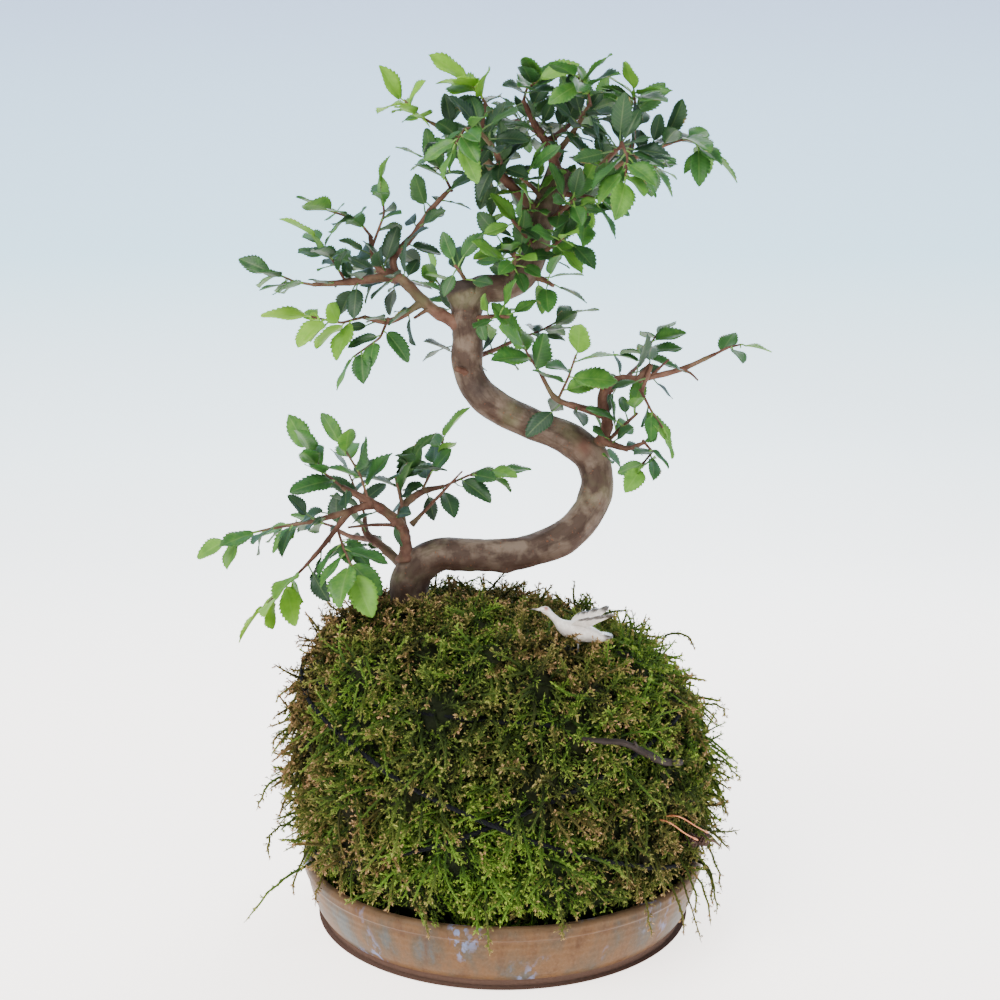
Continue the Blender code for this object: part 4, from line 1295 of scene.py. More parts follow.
    def clothe(self, frond: Frond, paths: Array, sizes: Array, facts: Array,
               rng: Draws, parts: MeshParts) -> None:
        """Set feathery fronds along paths.

        Args:
            frond: Template of the frond.
            paths: (frond, step, 3) points.
            sizes: Scale of each frond's twiglets.
            facts: Tone, dryness and dryness of the tip per frond.
            rng: Source of variation.
            parts: Where the meshes go.
        """
        along, local, quads, tips = frond
        low = np.clip(along.astype(int), 0, self.steps - 1)
        blend = (along - low)[None, :, None]
        tangents = unit(np.gradient(paths, axis=1))
        centre = np.array([-0.002, 0.0, 0.050])
        side = unit(np.cross(tangents[:, 0], paths[:, 0] - centre + rng.normal(0, 0.022, (len(paths), 3))))
        sides = []
        for k in range(paths.shape[1]):
            side = unit(side - tangents[:, k] * (side * tangents[:, k]).sum(-1, keepdims=True))
            sides.append(side)
        first = np.stack(sides, 1)
        second = np.cross(tangents, first)

        def read(rows: Array) -> Array:
            """Rows of the path, blended between its points."""
            return rows[:, low] * (1 - blend) + rows[:, low + 1] * blend

        size = sizes[:, None, None]
        verts = (
            read(paths) + read(first) * (local[None, :, 0:1] * size)
            + read(second) * (local[None, :, 1:2] * size) + read(tangents) * (local[None, :, 2:3] * size)
        )
        count, each = verts.shape[:2]
        shift = (np.arange(count) * each)[:, None, None]
        reach = np.clip(tips[None] * np.ones((count, 1)), 0, 1)
        tan = facts[:, 1:2] * (0.35 + 0.9 * reach) + facts[:, 2:3] * past(reach, 0.62, 0.2)
        rows = np.stack([0.05 + 0.95 * reach, np.repeat(facts[:, :1], each, 1), np.clip(tan, 0, 1)], -1)
        parts.add(verts.reshape(-1, 3), (quads[None] + shift).reshape(-1, 4), moss_at=rows.reshape(-1, 3))

    def build_fronds(self, finish: Material) -> None:
        """All fronds and the loose strands.

        Args:
            finish: Moss material.
        """
        rng = np.random.default_rng(11)
        self.spread_fronds(self.fronds, finish, rng)
        self.spread_fronds(self.undergrowth, finish, rng)
        parts = MeshParts()
        loose = []
        for strand in STRANDS:
            curve = curve_through(np.array(strand, float) * MM, self.steps // 3)
            curve[1:-1] += rng.normal(0, 0.0003, curve[1:-1].shape)
            loose.append(curve)
        loose_facts = rng.uniform((0.2, 0.10, 0.2), (0.8, 0.60, 0.9), (len(loose), 3))
        frond = self.template(rng, self.strands)
        self.clothe(frond, np.stack(loose), np.ones(len(loose)), loose_facts, rng, parts)
        present(parts.build(self.strands.name, finish), "moss")

    def spread_fronds(self, kind: FrondKind, finish: Material, rng: Draws) -> None:
        """Cover the ball with fronds, in pieces round it.

        Args:
            kind: Which kind of frond.
            finish: Moss material.
            rng: Source of variation.
        """
        feet, out = self.roots(kind.count, rng)
        stem_gap = np.linalg.norm(feet[:, :2] - TRUNK_FOOT, axis=1)
        bare = (nearest(feet, self.cords) < 0.0007) & ~self.over_cord(feet)
        keep = ~((stem_gap < self.stem_room) & (feet[:, 2] > 0.07)) & ~bare
        keep &= feet[:, 2] > self.lowest_foot
        feet, out = feet[keep], out[keep]
        paths = self.grow(feet, out, kind.reach, rng)
        paths[..., 2] = np.maximum(paths[..., 2], self.dish_floor)
        radial = np.linalg.norm(paths[..., :2], axis=-1)
        safe = ~((paths[..., 2] < self.rim_top) & (radial > self.rim_inside)).any(1)
        paths, feet = paths[safe], feet[safe]
        total = len(paths)
        _, _, which = self.cushion(feet)
        mood = self.moods[which]
        tone = np.clip(self.freshness(feet) + mood[:, 0] + rng.normal(0, 0.12, total), 0, 1)
        dry = self.dryness(feet) + 0.8 * mood[:, 1] + rng.normal(0, 0.20, total)
        dry = np.clip((dry - 0.32) * 1.35, 0, 1)
        tipped = np.clip(rng.normal(0.22, 0.45, total), 0, 1) * kind.tipped
        facts = np.stack([tone, dry, tipped], 1)
        sizes = rng.uniform(0.8, 1.2, total) * kind.size
        turn = np.arctan2(feet[:, 1], feet[:, 0]) / math.tau + 0.5
        sector = (turn * kind.pieces).astype(int) % kind.pieces
        for batch in range(kind.pieces):
            chosen = np.flatnonzero(sector == batch)
            parts = MeshParts()
            for group in np.array_split(chosen, 6):
                if len(group):
                    frond = self.template(rng, kind)
                    self.clothe(frond, paths[group], sizes[group], facts[group], rng, parts)
            present(parts.build(f"{kind.name}_{batch + 1}", finish), "moss")


# ------------------------------------------------------------------ cord
@dataclass
class CordBinding:
    """Rounds of twisted cord over the moss."""

    shape: BallShape
    radius: float = 0.0008
    gap: float = 0.0003
    rounds: tuple[tuple[str, float, float, float, int], ...] = (
        ("cord_round_level", 0.745, 0.035, 3.9, 0),
        ("cord_round_right", 0.465, 0.265, 6.2, 1),
        ("cord_round_left", 0.500, 0.290, 3.05, 2),
    )
    strands: int = 3
    pitch: float = 0.0052

    def path(self, which: int, samples: int) -> Array:
        """Middle line of one round.

        Args:
            which: Its row in rounds.
            samples: Number of points.

        Returns:
            A closed path.
        """
        _, share, tilt, heading, layer = self.rounds[which]
        lift = self.gap + 0.00022 + self.radius + layer * (2 * self.radius + self.gap)
        angle = turns(samples)
        height = share + tilt * np.cos(angle - heading)
        return self.shape.point(angle, height) + self.shape.normal(angle, height) * lift

    def all_paths(self) -> list[Array]:
        """Points along each round, for the moss to make way."""
        return [self.path(k, 240) for k in range(len(self.rounds))]

    def tops(self) -> list[float]:
        """Height of each round's top over the mat."""
        step = 2 * self.radius + self.gap
        return [self.gap + step + row[-1] * step for row in self.rounds]

    def build(self, finish: Material) -> None:
        """Lay each round as twisted strands.

        Args:
            finish: Cord material.
        """
        for which, (name, *_) in enumerate(self.rounds):
            path = self.path(which, 620)
            kernel = np.ones(9) / 9
            wrapped = np.vstack([path[-4:], path, path[:4]])
            path = np.stack([np.convolve(wrapped[:, c], kernel, "valid") for c in range(3)], 1)
            _, u, v = side_frames(path, True)
            twists = round(run_along(path)[-1] / self.pitch)
            parts = MeshParts()
            for strand in range(self.strands):
                turn = math.tau * (twists * np.arange(len(path)) / len(path) + strand / self.strands)
                line = path + (u * np.cos(turn)[:, None] + v * np.sin(turn)[:, None]) * (self.radius * 0.46)
                verts, quads, _ = sweep(line, np.full(len(path), self.radius * 0.50), 6, True)
                parts.add(verts, quads)
            present(parts.build(name + "_twist", finish), "cord", name)


# ------------------------------------------------------------------ saucer
@dataclass
class Saucer:
    """Shallow turned dish: bare foot, flared wall and a soft bead at the rim."""

    rim: float = 0.0701
    foot: float = 0.0641
    height: float = 0.021
    floor: float = 0.0048
    floor_radius: float = 0.0561

    def profile(self) -> Array:
        """Outline of the dish, from the underside out and back in.

        Returns:
            Rows of radius and height.
        """
        rim, foot, top = self.rim, self.foot, self.height
        knots = (
            (0.0005, 0.0001), (0.030, 0.0001), (foot - 0.0016, 0.0000), (foot - 0.0009, 0.0003),
            (foot - 0.0007, 0.0008), (foot - 0.0007, 0.0022), (foot - 0.0002, 0.0025),
            (foot + 0.0003, 0.0031), (foot + 0.0019, 0.0056), (foot + 0.0036, 0.0105),
            (foot + 0.0045, 0.0140), (rim - 0.0010, 0.0166), (rim - 0.0006, 0.0172),
            (rim - 0.0001, 0.0178), (rim, 0.0188), (rim - 0.0002, 0.0200), (rim - 0.0009, 0.0208),
            (rim - 0.0018, top), (rim - 0.0028, 0.0208), (rim - 0.0034, 0.0199), (rim - 0.0038, 0.0180),
            (rim - 0.0060, 0.0110), (rim - 0.0090, 0.0075), (self.floor_radius, 0.0058),
            (self.floor_radius - 0.004, 0.0050), (0.030, self.floor), (0.0005, self.floor),
        )
        return curve_through(np.array(knots), 6)

    def build(self, finish: Material) -> None:
        """Turn the dish.

        Args:
            finish: Glaze material.
        """
        profile = self.profile()
        sides = 320
        angle = turns(sides)
        radius = profile[:, 0][:, None] * np.ones(sides)
        rows = np.stack([radius * np.cos(angle), radius * np.sin(angle),
                         profile[:, 1][:, None] * np.ones(sides)], -1)
        flat = rows.reshape(-1, 3)
        weight = past(flat[:, 2], 0.003, 0.01)
        wobble = layered_noise(flat * 38.0, 41, 2) * 0.00022 * weight
        steps = np.sin(flat[:, 2] * 2600.0 + layered_noise(flat * 30.0, 9, 1)) * 0.00006 * weight
        out = unit(flat * np.array([1.0, 1.0, 0.0]))
        flat = flat + out * (wobble + steps)[:, None]
        flat[:, 2] += layered_noise(flat * 24.0, 77, 1) * 0.00025 * past(flat[:, 2], 0.012, 0.008)
        flat[:, 2] = np.clip(flat[:, 2], 0.0, None)
        flat = np.vstack([flat, [0.0, 0.0, 0.0001], [0.0, 0.0, self.floor]])
        parts = MeshParts()
        parts.add(flat, tube_quads(len(profile), sides), end_caps(len(profile), sides))
        present(parts.build("saucer_dish", finish), "stoneware_glaze", "saucer")


# ------------------------------------------------------------------ tree
# Steps of the trunk from its root stump up: x, y, z and radius in millimetres.
TRUNK_STEPS = (
    (-32, 0, 88, 7.4), (-32, 0, 98, 7.4), (-32, 0, 105, 7.0), (-33, 0, 112, 6.7), (-30, -1, 119, 6.5),
    (-22, -3, 124, 6.2), (-10, -5, 124, 5.9), (1, -6, 124, 5.9), (11, -5, 126, 5.8), (21, -4, 130, 5.8),
    (29, -2, 138, 5.7), (33, 0, 148, 5.6), (31, 2, 157, 5.6), (23, 3, 164, 5.6), (11, 3, 169, 5.3),
    (0, 2, 174, 5.2), (-8, 1, 180, 5.3), (-12, 0, 188, 5.1), (-12, -1, 198, 5.0), (-12, -1, 208, 5.0),
    (-8, -1, 215, 5.0), (0, -1, 216, 4.9), (7, 0, 220, 4.8), (11, 1, 228, 4.6), (13, 2, 237, 4.6),
    (16, 2, 246, 4.7), (20, 2, 256, 4.8),
)

# Limbs of each branch, the leading one first, in the same steps.
BRANCHES = (
    ("branch_lower_left", (
        ((-33, -3, 122, 2.3), (-35, -4, 133, 2.0), (-39, -6, 138, 1.8), (-46, -8, 143, 1.5),
         (-55, -9, 148, 0.8)),
        ((-35, -4, 132, 1.7), (-35, 1, 140, 1.5), (-29, 5, 145, 1.2), (-21, 8, 147, 0.7)),
        ((-45, -8, 142, 1.2), (-55, -12, 139, 1.1), (-66, -13, 136, 0.7)),
        ((-52, -11, 140, 1.0), (-60, -16, 129, 0.8), (-66, -18, 122, 0.6)),
    )),
    ("branch_arching", (
        ((-32, -1, 117, 1.9), (-42, 5, 125, 1.6), (-49, 10, 130, 1.3), (-50, 14, 136, 0.7)),
        ((-46, 8, 128, 1.2), (-56, 18, 128, 0.9), (-64, 26, 131, 0.6)),
    )),
    ("branch_upper_left", (
        ((-13, -2, 202, 2.3), (-25, -4, 209, 2.0), (-32, -5, 216, 1.8), (-37, -6, 219, 1.6),
         (-52, -8, 217, 1.2), (-64, -9, 216, 0.7)),
        ((-37, -6, 219, 1.4), (-43, -6, 223, 1.1), (-45, -5, 233, 0.7)),
        ((-36, -6, 218, 1.4), (-37, -4, 226, 1.3), (-31, -2, 233, 1.1), (-25, 0, 242, 1.0),
         (-18, 2, 250, 0.7)),
        ((-27, -4, 211, 1.2), (-38, -8, 204, 1.0), (-47, -11, 205, 0.6)),
        ((-33, -5, 217, 1.2), (-38, 6, 219, 1.0), (-44, 16, 223, 0.6)),
    )),
    ("branch_back", (
        ((-9, 2, 182, 2.0), (-13, 14, 190, 1.7), (-17, 26, 199, 1.3), (-18, 36, 210, 0.7)),
        ((-14, 18, 192, 1.2), (-4, 27, 196, 0.9), (6, 33, 201, 0.6)),
    )),
    ("branch_right", (
        ((31, 2, 159, 2.2), (36, -2, 168, 1.9), (34, -4, 178, 1.7), (38, -5, 184, 1.5), (49, -6, 185, 1.1),
         (61, -7, 188, 0.9), (72, -8, 193, 0.6)),
        ((34, -3, 173, 1.4), (26, -5, 175, 1.2), (18, -6, 178, 1.0), (13, -6, 186, 0.6)),
        ((46, -6, 184, 1.0), (50, -8, 189, 0.8), (47, -9, 180, 0.6)),
        ((36, -4, 181, 1.2), (42, 8, 184, 1.0), (49, 19, 190, 0.6)),
        ((34, 0, 164, 1.3), (42, -6, 161, 0.9), (48, -10, 163, 0.6)),
    )),
    ("branch_crown_left", (
        ((13, 1, 240, 2.0), (4, -2, 249, 1.7), (-5, -4, 257, 1.4), (-12, -5, 264, 1.1), (-24, -6, 270, 0.6)),
        ((2, -3, 251, 1.2), (-2, 10, 256, 1.0), (-8, 22, 264, 0.6)),
        ((-1, -3, 253, 1.1), (-2, -14, 258, 0.9), (-8, -25, 263, 0.6)),
        ((-8, -4, 260, 1.0), (-7, -6, 269, 0.8), (-6, -8, 276, 0.5)),
    )),
    ("branch_crown_right", (
        ((18, 2, 250, 1.9), (28, 0, 253, 1.6), (37, -2, 256, 1.3), (46, -3, 260, 1.0), (57, -4, 264, 0.6)),
        ((33, -1, 254, 1.2), (39, 11, 258, 0.9), (44, 24, 262, 0.6)),
        ((31, -1, 254, 1.1), (35, -14, 257, 0.9), (38, -26, 258, 0.6)),
        ((42, -3, 258, 0.9), (44, -4, 265, 0.7), (44, -5, 272, 0.5)),
    )),
    ("branch_crown_top", (
        ((19, 2, 253, 2.0), (16, 1, 263, 1.6), (11, 1, 271, 1.2), (7, 0, 279, 0.7)),
        ((15, 1, 265, 1.2), (22, 8, 272, 0.9), (28, 15, 279, 0.6)),
        ((17, 2, 260, 1.2), (24, -4, 268, 0.9), (29, -8, 276, 0.5)),
        ((13, 1, 268, 1.0), (9, 14, 274, 0.8), (5, 25, 279, 0.5)),
    )),
)

# Length of limb for each leaf set on a spur, in millimetres.
SPUR_SPACING = {
    "branch_lower_left": 6.0, "branch_arching": 7.0, "branch_upper_left": 3.1, "branch_back": 4.2,
    "branch_right": 9.0, "branch_crown_left": 1.6, "branch_crown_right": 1.9, "branch_crown_top": 1.7,
}

# Short dead twiglets and pruned stubs: foot, tip, foot radius and tip radius in millimetres.
STUBS = (
    ((8, 0, 222), (0, -6, 229), 1.3, 0.7), ((9, 0, 220), (17, -6, 216), 1.2, 0.7),
    ((14, 2, 240), (6, -4, 242), 1.2, 0.6), ((16, 2, 244), (29, -4, 240), 1.0, 0.4),
    ((11, 0, 228), (3, -11, 237), 1.1, 0.5), ((13, 1, 236), (24, -11, 244), 1.1, 0.5),
    ((9, -1, 224), (20, -12, 231), 1.0, 0.5), ((15, 2, 244), (5, -10, 252), 1.1, 0.5),
    ((-11, -2, 213), (-16, -12, 222), 1.0, 0.5), ((2, -1, 217), (4, -13, 226), 1.0, 0.5),
    ((14, 4, 240), (18, 14, 247), 1.0, 0.5), ((10, 3, 228), (4, 13, 236), 1.0, 0.5),
    ((-11, -3, 205), (2, -12, 205), 1.0, 0.5),
    ((17, 2, 248), (31, -2, 246), 1.1, 0.5), ((31, 1, 158), (46, -6, 173), 0.9, 0.5),
    ((26, 2, 163), (43, -4, 160), 1.0, 0.4), ((-33, -1, 121), (-37, -5, 151), 0.9, 0.4),
    ((-35, -3, 134), (-53, -9, 134), 0.8, 0.4), ((-32, 1, 134), (-14, -4, 153), 0.8, 0.3),
    ((-10, -1, 184), (-16, -8, 188), 1.4, 0.9), ((-24, -4, 209), (-30, -8, 205), 0.8, 0.5),
    ((50, -6, 185), (56, -9, 191), 0.6, 0.3), ((60, -7, 188), (66, -9, 184), 0.5, 0.3),
)


def bark_facts(path: Array, turn: Array, verts: Array, centre: Array, reach: float) -> tuple[Array, Array]:
    """Bark coordinates, and a darkening mask: painted shade on undersides, stronger low down, and darker
    still at the foot.

    Args:
        path: Distance along the limb, per vertex.
        turn: Direction round the limb, per vertex.
        verts: The vertices.
        centre: Middle-line point of each vertex.
        reach: Limb radius that the coordinates unroll at.

    Returns:
        Unrolled coordinates and the darkening mask's values.
    """
    at = np.stack([np.cos(turn) * reach, np.sin(turn) * reach, path], 1)
    facing = unit(verts - centre)[:, 2]
    low = np.clip((0.135 - verts[:, 2]) / 0.03, 0, 1)
    # Painted shade: darker the more a vertex faces down, and more so low on the tree.
    stain_and_shade = np.clip(-facing * 0.8 + 0.1, 0, 1) * (0.35 + 0.65 * low)
    # Darker still towards the foot, where the trunk goes into the moss.
    stain_and_shade = stain_and_shade + 0.45 * np.clip((0.116 - verts[:, 2]) / 0.012, 0, 1)
    return at, np.clip(stain_and_shade, 0, 1)


def limb_parts(parts: MeshParts, knots: Array, sides: int, per_span: int, seed: int,
               rough: float, collar: float, swell: float) -> None:
    """Add one limb with uneven bark to a mesh.

    Args:
        parts: Where it goes.
        knots: Rows of x, y, z and radius in metres.
        sides: Vertices in a ring.
        per_span: Rings between knots.
        seed: Noise field of this limb.
        rough: How uneven the bark is, as a share of the radius.
        collar: Extra radius at the foot, as a share.
        swell: Strength of the swollen joints along it.
    """
    curve = curve_through(knots, per_span)
    path, radii = curve[:, :3], np.maximum(curve[:, 3], 0.0003)
    run = run_along(path)
    radii = radii * (1 + collar * bell(run, 0.0028))
    joints = 0.5 + 0.5 * np.sin(run * 900.0 + seed)
    radii = radii * (1 + swell * joints**6)
    turn = turns(sides)
    grid_turn = np.tile(turn, len(path))
    grid_run = np.repeat(run, sides)
    size = float(radii.mean())
    sample = np.stack([np.cos(grid_turn) * size, np.sin(grid_turn) * size, grid_run * 0.55], 1)
    bumps = layered_noise(sample * (0.9 / size), seed, 2) * 0.7
    bumps = bumps + layered_noise(sample * (3.4 / size), seed + 5, 2) * 0.3
    shape = 1 + rough * bumps.reshape(len(path), sides)
    verts, quads, caps = sweep(path, radii, sides, shape=shape)
    centre = middles(path, sides)
    grid_turn = np.concatenate([grid_turn, [0.0, 0.0]])
    grid_run = np.concatenate([grid_run, [0.0, run[-1]]])
    skin, stain_and_shade = bark_facts(grid_run, grid_turn, verts, centre, size)
    parts.add(verts, quads, caps, skin_at=skin, stain_and_shade=stain_and_shade, scar=np.zeros(len(verts)))


@dataclass
class Trunk:
    """Serpentine trunk with knots, fluting, a healed cut and a pruned top."""

    sides: int = 64
    per_span: int = 14
    knots: tuple[tuple[float, float, float, float, float], ...] = (
        (-34, -4, 116, 1.3, 5.0), (-30, -5, 123, 0.9, 4.0), (1, -9, 119, 1.8, 2.4), (24, -9, 133, 0.8, 4.0),
        (35, -4, 144, 1.0, 4.5), (35, 0, 160, 1.5, 4.0), (25, -3, 163, 1.1, 2.0), (6, -2, 172, 0.9, 4.0),
        (-8, -4, 182, 1.2, 4.0), (-16, -3, 193, 0.8, 4.5), (-15, -3, 203, 1.3, 3.5), (-13, -4, 212, 1.3, 4.5),
        (5, -4, 221, 1.8, 3.6), (10, -3, 227, 1.1, 3.0), (15, -3, 239, 1.0, 3.0), (12, -2, 241, 1.2, 3.0),
        (20, -3, 252, 1.4, 4.0), (17, 6, 254, 1.2, 4.0), (23, 1, 256, 1.3, 3.0), (30, 6, 150, 1.1, 5.0),
    )

    def build(self, finish: Material) -> None:
        """Make the trunk with its scar and the rolled lip over its old cut.

        Args:
            finish: Bark material.
        """
        parts = MeshParts()
        self.add_stem(parts)
        self.add_callus(parts)
        present(parts.build("trunk_wood", finish), "trunk_bark", "trunk")

    def build_twiglets(self, finish: Material) -> list[Array]:
        """Make the short twiglets and pruned stubs.

        Args:
            finish: Twig bark material.

        Returns:
            Knots of each, in metres.
        """
        parts = MeshParts()
        limbs = []
        for index, (foot, tip, thick, thin) in enumerate(STUBS):
            middle = tuple((a + b) / 2 + 0.6 for a, b in zip(foot, tip))
            rows = np.array([(*foot, thick), (*middle, (thick + thin) / 2), (*tip, thin)]) * MM
            limb_parts(parts, rows, 12, 5, 90 + index, 0.16, 0.5, 0.12)
            limbs.append(rows)
        present(parts.build("twiglets", finish), "twig_bark")
        return limbs

    def add_stem(self, parts: MeshParts) -> None:
        """Add the stem itself.

        Args:
            parts: Where it goes.
        """
        curve = curve_through(np.array(TRUNK_STEPS, float) * MM, self.per_span)
        path, radii = curve[:, :3], curve[:, 3]
        run = run_along(path)
        turn = turns(self.sides)
        grid_turn = np.tile(turn, len(path))
        grid_run = np.repeat(run, self.sides)
        sample = np.stack([np.cos(grid_turn) * 0.0055, np.sin(grid_turn) * 0.0055, grid_run * 0.5], 1)
        shape = 1.0 + 0.055 * layered_noise(sample * 190.0, 31, 2)
        shape = shape + 0.020 * layered_noise(sample * 800.0, 37, 3)
        shape = shape + 0.03 * np.sin(2 * grid_turn + grid_run * 40.0)
        shape = shape.reshape(len(path), self.sides)
        top = past(path[:, 2], 0.250, 0.006)
        shape = shape * (1 + 0.10 * top[:, None] * np.sin(5 * turn + 1.0)[None])
        verts, quads, caps = sweep(path, radii, self.sides, shape=shape)
        centre = middles(path, self.sides)
        for x, y, z, lift, spread in self.knots:
            spot = np.array([x, y, z]) * MM
            gap = np.linalg.norm(verts - spot, axis=1)
            verts = verts + unit(verts - centre) * (lift * MM * 0.62 * bell(gap, spread * MM))[:, None]
        grid_turn = np.concatenate([grid_turn, [0.0, 0.0]])
        grid_run = np.concatenate([grid_run, [0.0, run[-1]]])
        skin, stain_and_shade = bark_facts(grid_run, grid_turn, verts, centre, 0.0055)
        patch = np.linalg.norm(verts - np.array([-0.008, -0.005, 0.181]), axis=1)
        scar = 0.75 * bell(patch, 0.0045)
        cut = np.linalg.norm(verts - np.array([0.028, -0.004, 0.161]), axis=1)
        stain_and_shade = np.clip(stain_and_shade + 1.3 * bell(cut, 0.0028), 0, 1)
        parts.add(verts, quads, caps, skin_at=skin, stain_and_shade=stain_and_shade, scar=np.clip(scar, 0, 1))

    def add_callus(self, parts: MeshParts) -> None:
        """Add the rolled black lip over the old cut on the shoulder.

        Args:
            parts: Where it goes.
        """
        foot = np.array([-12.0, -1.0, 207.0]) * MM
        axis = unit(np.array([-0.16, -0.05, 1.0]))
        rings = ((0.0, 5.0), (3.0, 5.3), (6.0, 5.7), (8.6, 6.2), (10.2, 6.3), (11.2, 5.7), (11.4, 4.7),
                 (10.6, 3.8), (9.6, 2.4), (9.3, 0.6))
        profile = curve_through(np.array(rings) * MM, 5)
        sides = 48
        turn = turns(sides)
        u = unit(np.cross(axis, np.array([0.0, 1.0, 0.0])))
        v = np.cross(axis, u)
        rows = []
        for along, radius in profile:
            wobble = 1 + 0.07 * np.sin(3 * turn + 0.8) + 0.05 * np.sin(7 * turn + along * 900)
            ring = foot + axis * along + (u[None] * np.cos(turn)[:, None] + v[None] * np.sin(turn)[:, None]) \
                * (radius * wobble)[:, None]
            rows.append(ring)
        verts = np.concatenate(rows)
        noise = layered_noise(verts * 700.0, 63, 3)
        centre = np.repeat(foot + axis * profile[:, :1], sides, 0)
        verts = verts + unit(verts - centre) * (noise * 0.00022)[:, None]
        last = (len(profile) - 1) * sides
        k = np.arange(sides)
        caps = np.stack([last + k, last + (k + 1) % sides, np.full(sides, len(verts))], 1)
        verts = np.vstack([verts, foot + axis * profile[-1, 0]])
        height = np.concatenate([np.repeat(profile[:, 0], sides), [profile[-1, 0]]])
        scar = np.clip((height - 0.0070 + 0.0006 * np.concatenate([noise, [0.0]])) / 0.0012, 0, 1) * 0.96
        parts.add(verts, tube_quads(len(profile), sides), caps, skin_at=verts,
                  stain_and_shade=np.zeros(len(verts)), scar=scar)


@dataclass
class Branch:
    """One branch with its forks."""

    name: str
    limbs: tuple[tuple[tuple[float, float, float, float], ...], ...]
    seed: int

    def build(self, finish: Material) -> None:
        """Make the branch.

        Args:
            finish: Twig bark material.
        """
        parts = MeshParts()
        for index, limb in enumerate(self.limbs):
            rows = np.array(limb, float) * MM
            limb_parts(parts, rows, 22, 9, self.seed + 7 * index, 0.10, 0.75 if index == 0 else 0.45, 0.16)
        present(parts.build(self.name + "_wood", finish), "twig_bark", self.name)


# Leafy shoots: steps of the stem in millimetres, and the age of the leaves.
SHOOTS = (
    (((-66, -13, 136), (-79, -14, 134), (-92, -16, 131)), 1),
    (((-66, -18, 122), (-72, -20, 116), (-78, -22, 110)), 2),
    (((-55, -9, 148), (-61, -10, 153), (-66, -10, 161)), 1),
    (((-46, -8, 143), (-48, -13, 152), (-54, -16, 163)), 1),
    (((-21, 8, 147), (-12, 8, 151), (-2, 7, 153)), 1),
    (((-35, 1, 140), (-36, -2, 149), (-31, -5, 158)), 0),
    (((-29, 5, 145), (-24, 8, 155), (-21, 9, 164)), 1),
    (((-56, -13, 134), (-53, -20, 128), (-49, -27, 122)), 1),
    (((-50, 14, 136), (-53, 19, 143), (-57, 23, 151)), 0),
    (((-64, 26, 131), (-72, 30, 133), (-81, 33, 131)), 1),
    (((-64, -9, 216), (-70, -9, 217), (-77, -10, 220)), 1),
    (((-53, -8, 217), (-57, -9, 224), (-62, -11, 231)), 1),
    (((-45, -5, 233), (-49, -6, 238), (-59, -7, 241)), 1),
    (((-44, -5, 230), (-40, -6, 240), (-41, -7, 250)), 1),
    (((-47, -11, 205), (-54, -12, 203), (-64, -13, 205)), 2),
    (((-39, -9, 204), (-41, -13, 198), (-49, -16, 192)), 1),
    (((-44, 16, 223), (-49, 22, 226), (-56, 28, 230)), 0),
    (((-18, 2, 250), (-21, 3, 256), (-27, 3, 261)), 1),
    (((-18, 36, 210), (-21, 42, 217), (-26, 46, 225)), 1),
    (((6, 33, 201), (14, 37, 204), (23, 38, 209)), 0),
    (((72, -8, 193), (76, -9, 195), (80, -10, 196)), 1),
    (((47, -9, 180), (50, -10, 174), (54, -11, 168)), 1),
    (((13, -6, 186), (9, -7, 192), (5, -8, 199)), 1),
    (((19, -6, 178), (22, -12, 185), (24, -18, 192)), 1),
    (((48, -10, 163), (50, -15, 160), (46, -20, 156)), 1),
    (((49, 19, 190), (53, 26, 196), (58, 32, 203)), 1),
    (((-24, -6, 270), (-28, -7, 272), (-33, -8, 277)), 2),
    (((-6, -8, 276), (-8, -10, 279), (-12, -12, 282)), 2),
    (((-8, 22, 264), (-13, 28, 269), (-20, 33, 273)), 1),
    (((-8, -25, 263), (-12, -30, 262), (-15, -34, 256)), 1),
    (((57, -4, 264), (62, -5, 265), (68, -6, 262)), 1),
    (((44, 24, 262), (50, 29, 265), (57, 33, 264)), 1),
    (((38, -26, 258), (39, -31, 253), (38, -35, 246)), 1),
    (((44, -5, 272), (44, -8, 276), (43, -12, 279)), 1),
    (((7, 0, 279), (8, -3, 282), (12, -6, 284)), 1),
    (((28, 15, 279), (32, 17, 281), (37, 18, 283)), 1),
    (((29, -8, 276), (28, -12, 279), (24, -17, 282)), 1),
    (((5, 25, 279), (3, 30, 280), (-2, 35, 281)), 1),
)


@dataclass
class BladeFrame:
    """Where a leaf blade lies: its foot, direction, face and length."""

    foot: Array
    along: Array
    face: Array
    length: float


def blades_of(node: bpy.types.Object) -> list[BladeFrame]:
    """Read the leaf blades of a shoot's solid: each has one ridge point above and one below.

    Args:
        node: The shoot's CAD object.

    Returns:
        One frame per blade.
    """
    mesh = node.data
    mesh.calc_loop_triangles()
    co = np.array([vertex.co for vertex in mesh.vertices], float)
    corners = np.array([tuple(tri.vertices) for tri in mesh.loop_triangles])
    keys, back = np.unique(np.round(co * 2e6).astype(np.int64), axis=0, return_inverse=True)
    place = np.zeros((len(keys), 3))
    place[back.ravel()] = co
    linked: dict[int, set[int]] = {}
    for a, b, c in back.ravel()[corners]:
        for p, q in ((a, b), (b, c), (c, a)):
            linked.setdefault(int(p), set()).add(int(q))
            linked.setdefault(int(q), set()).add(int(p))
    busy = [k for k, near in linked.items() if len(near) >= 5]
    found = []
    for i, j in itertools.combinations(busy, 2):
        apart = np.linalg.norm(place[i] - place[j])
        shared = linked[i] & linked[j]
        if j in linked[i] or not 0.00055 < apart < 0.00072 or len(shared) < 4:
            continue
        middle = (place[i] + place[j]) / 2
        rim = sorted(shared, key=lambda k: -np.linalg.norm(place[k] - middle))
        face = unit(place[i] - place[j])
        if face[2] < 0:
            face = -face
        along = unit(place[rim[0]] - middle)
        length = float(np.linalg.norm(place[rim[0]] - middle) / 0.55)
        face = unit(face - along * face.dot(along))
        found.append(BladeFrame(middle - along * length * 0.45, along, face, length))
    return found


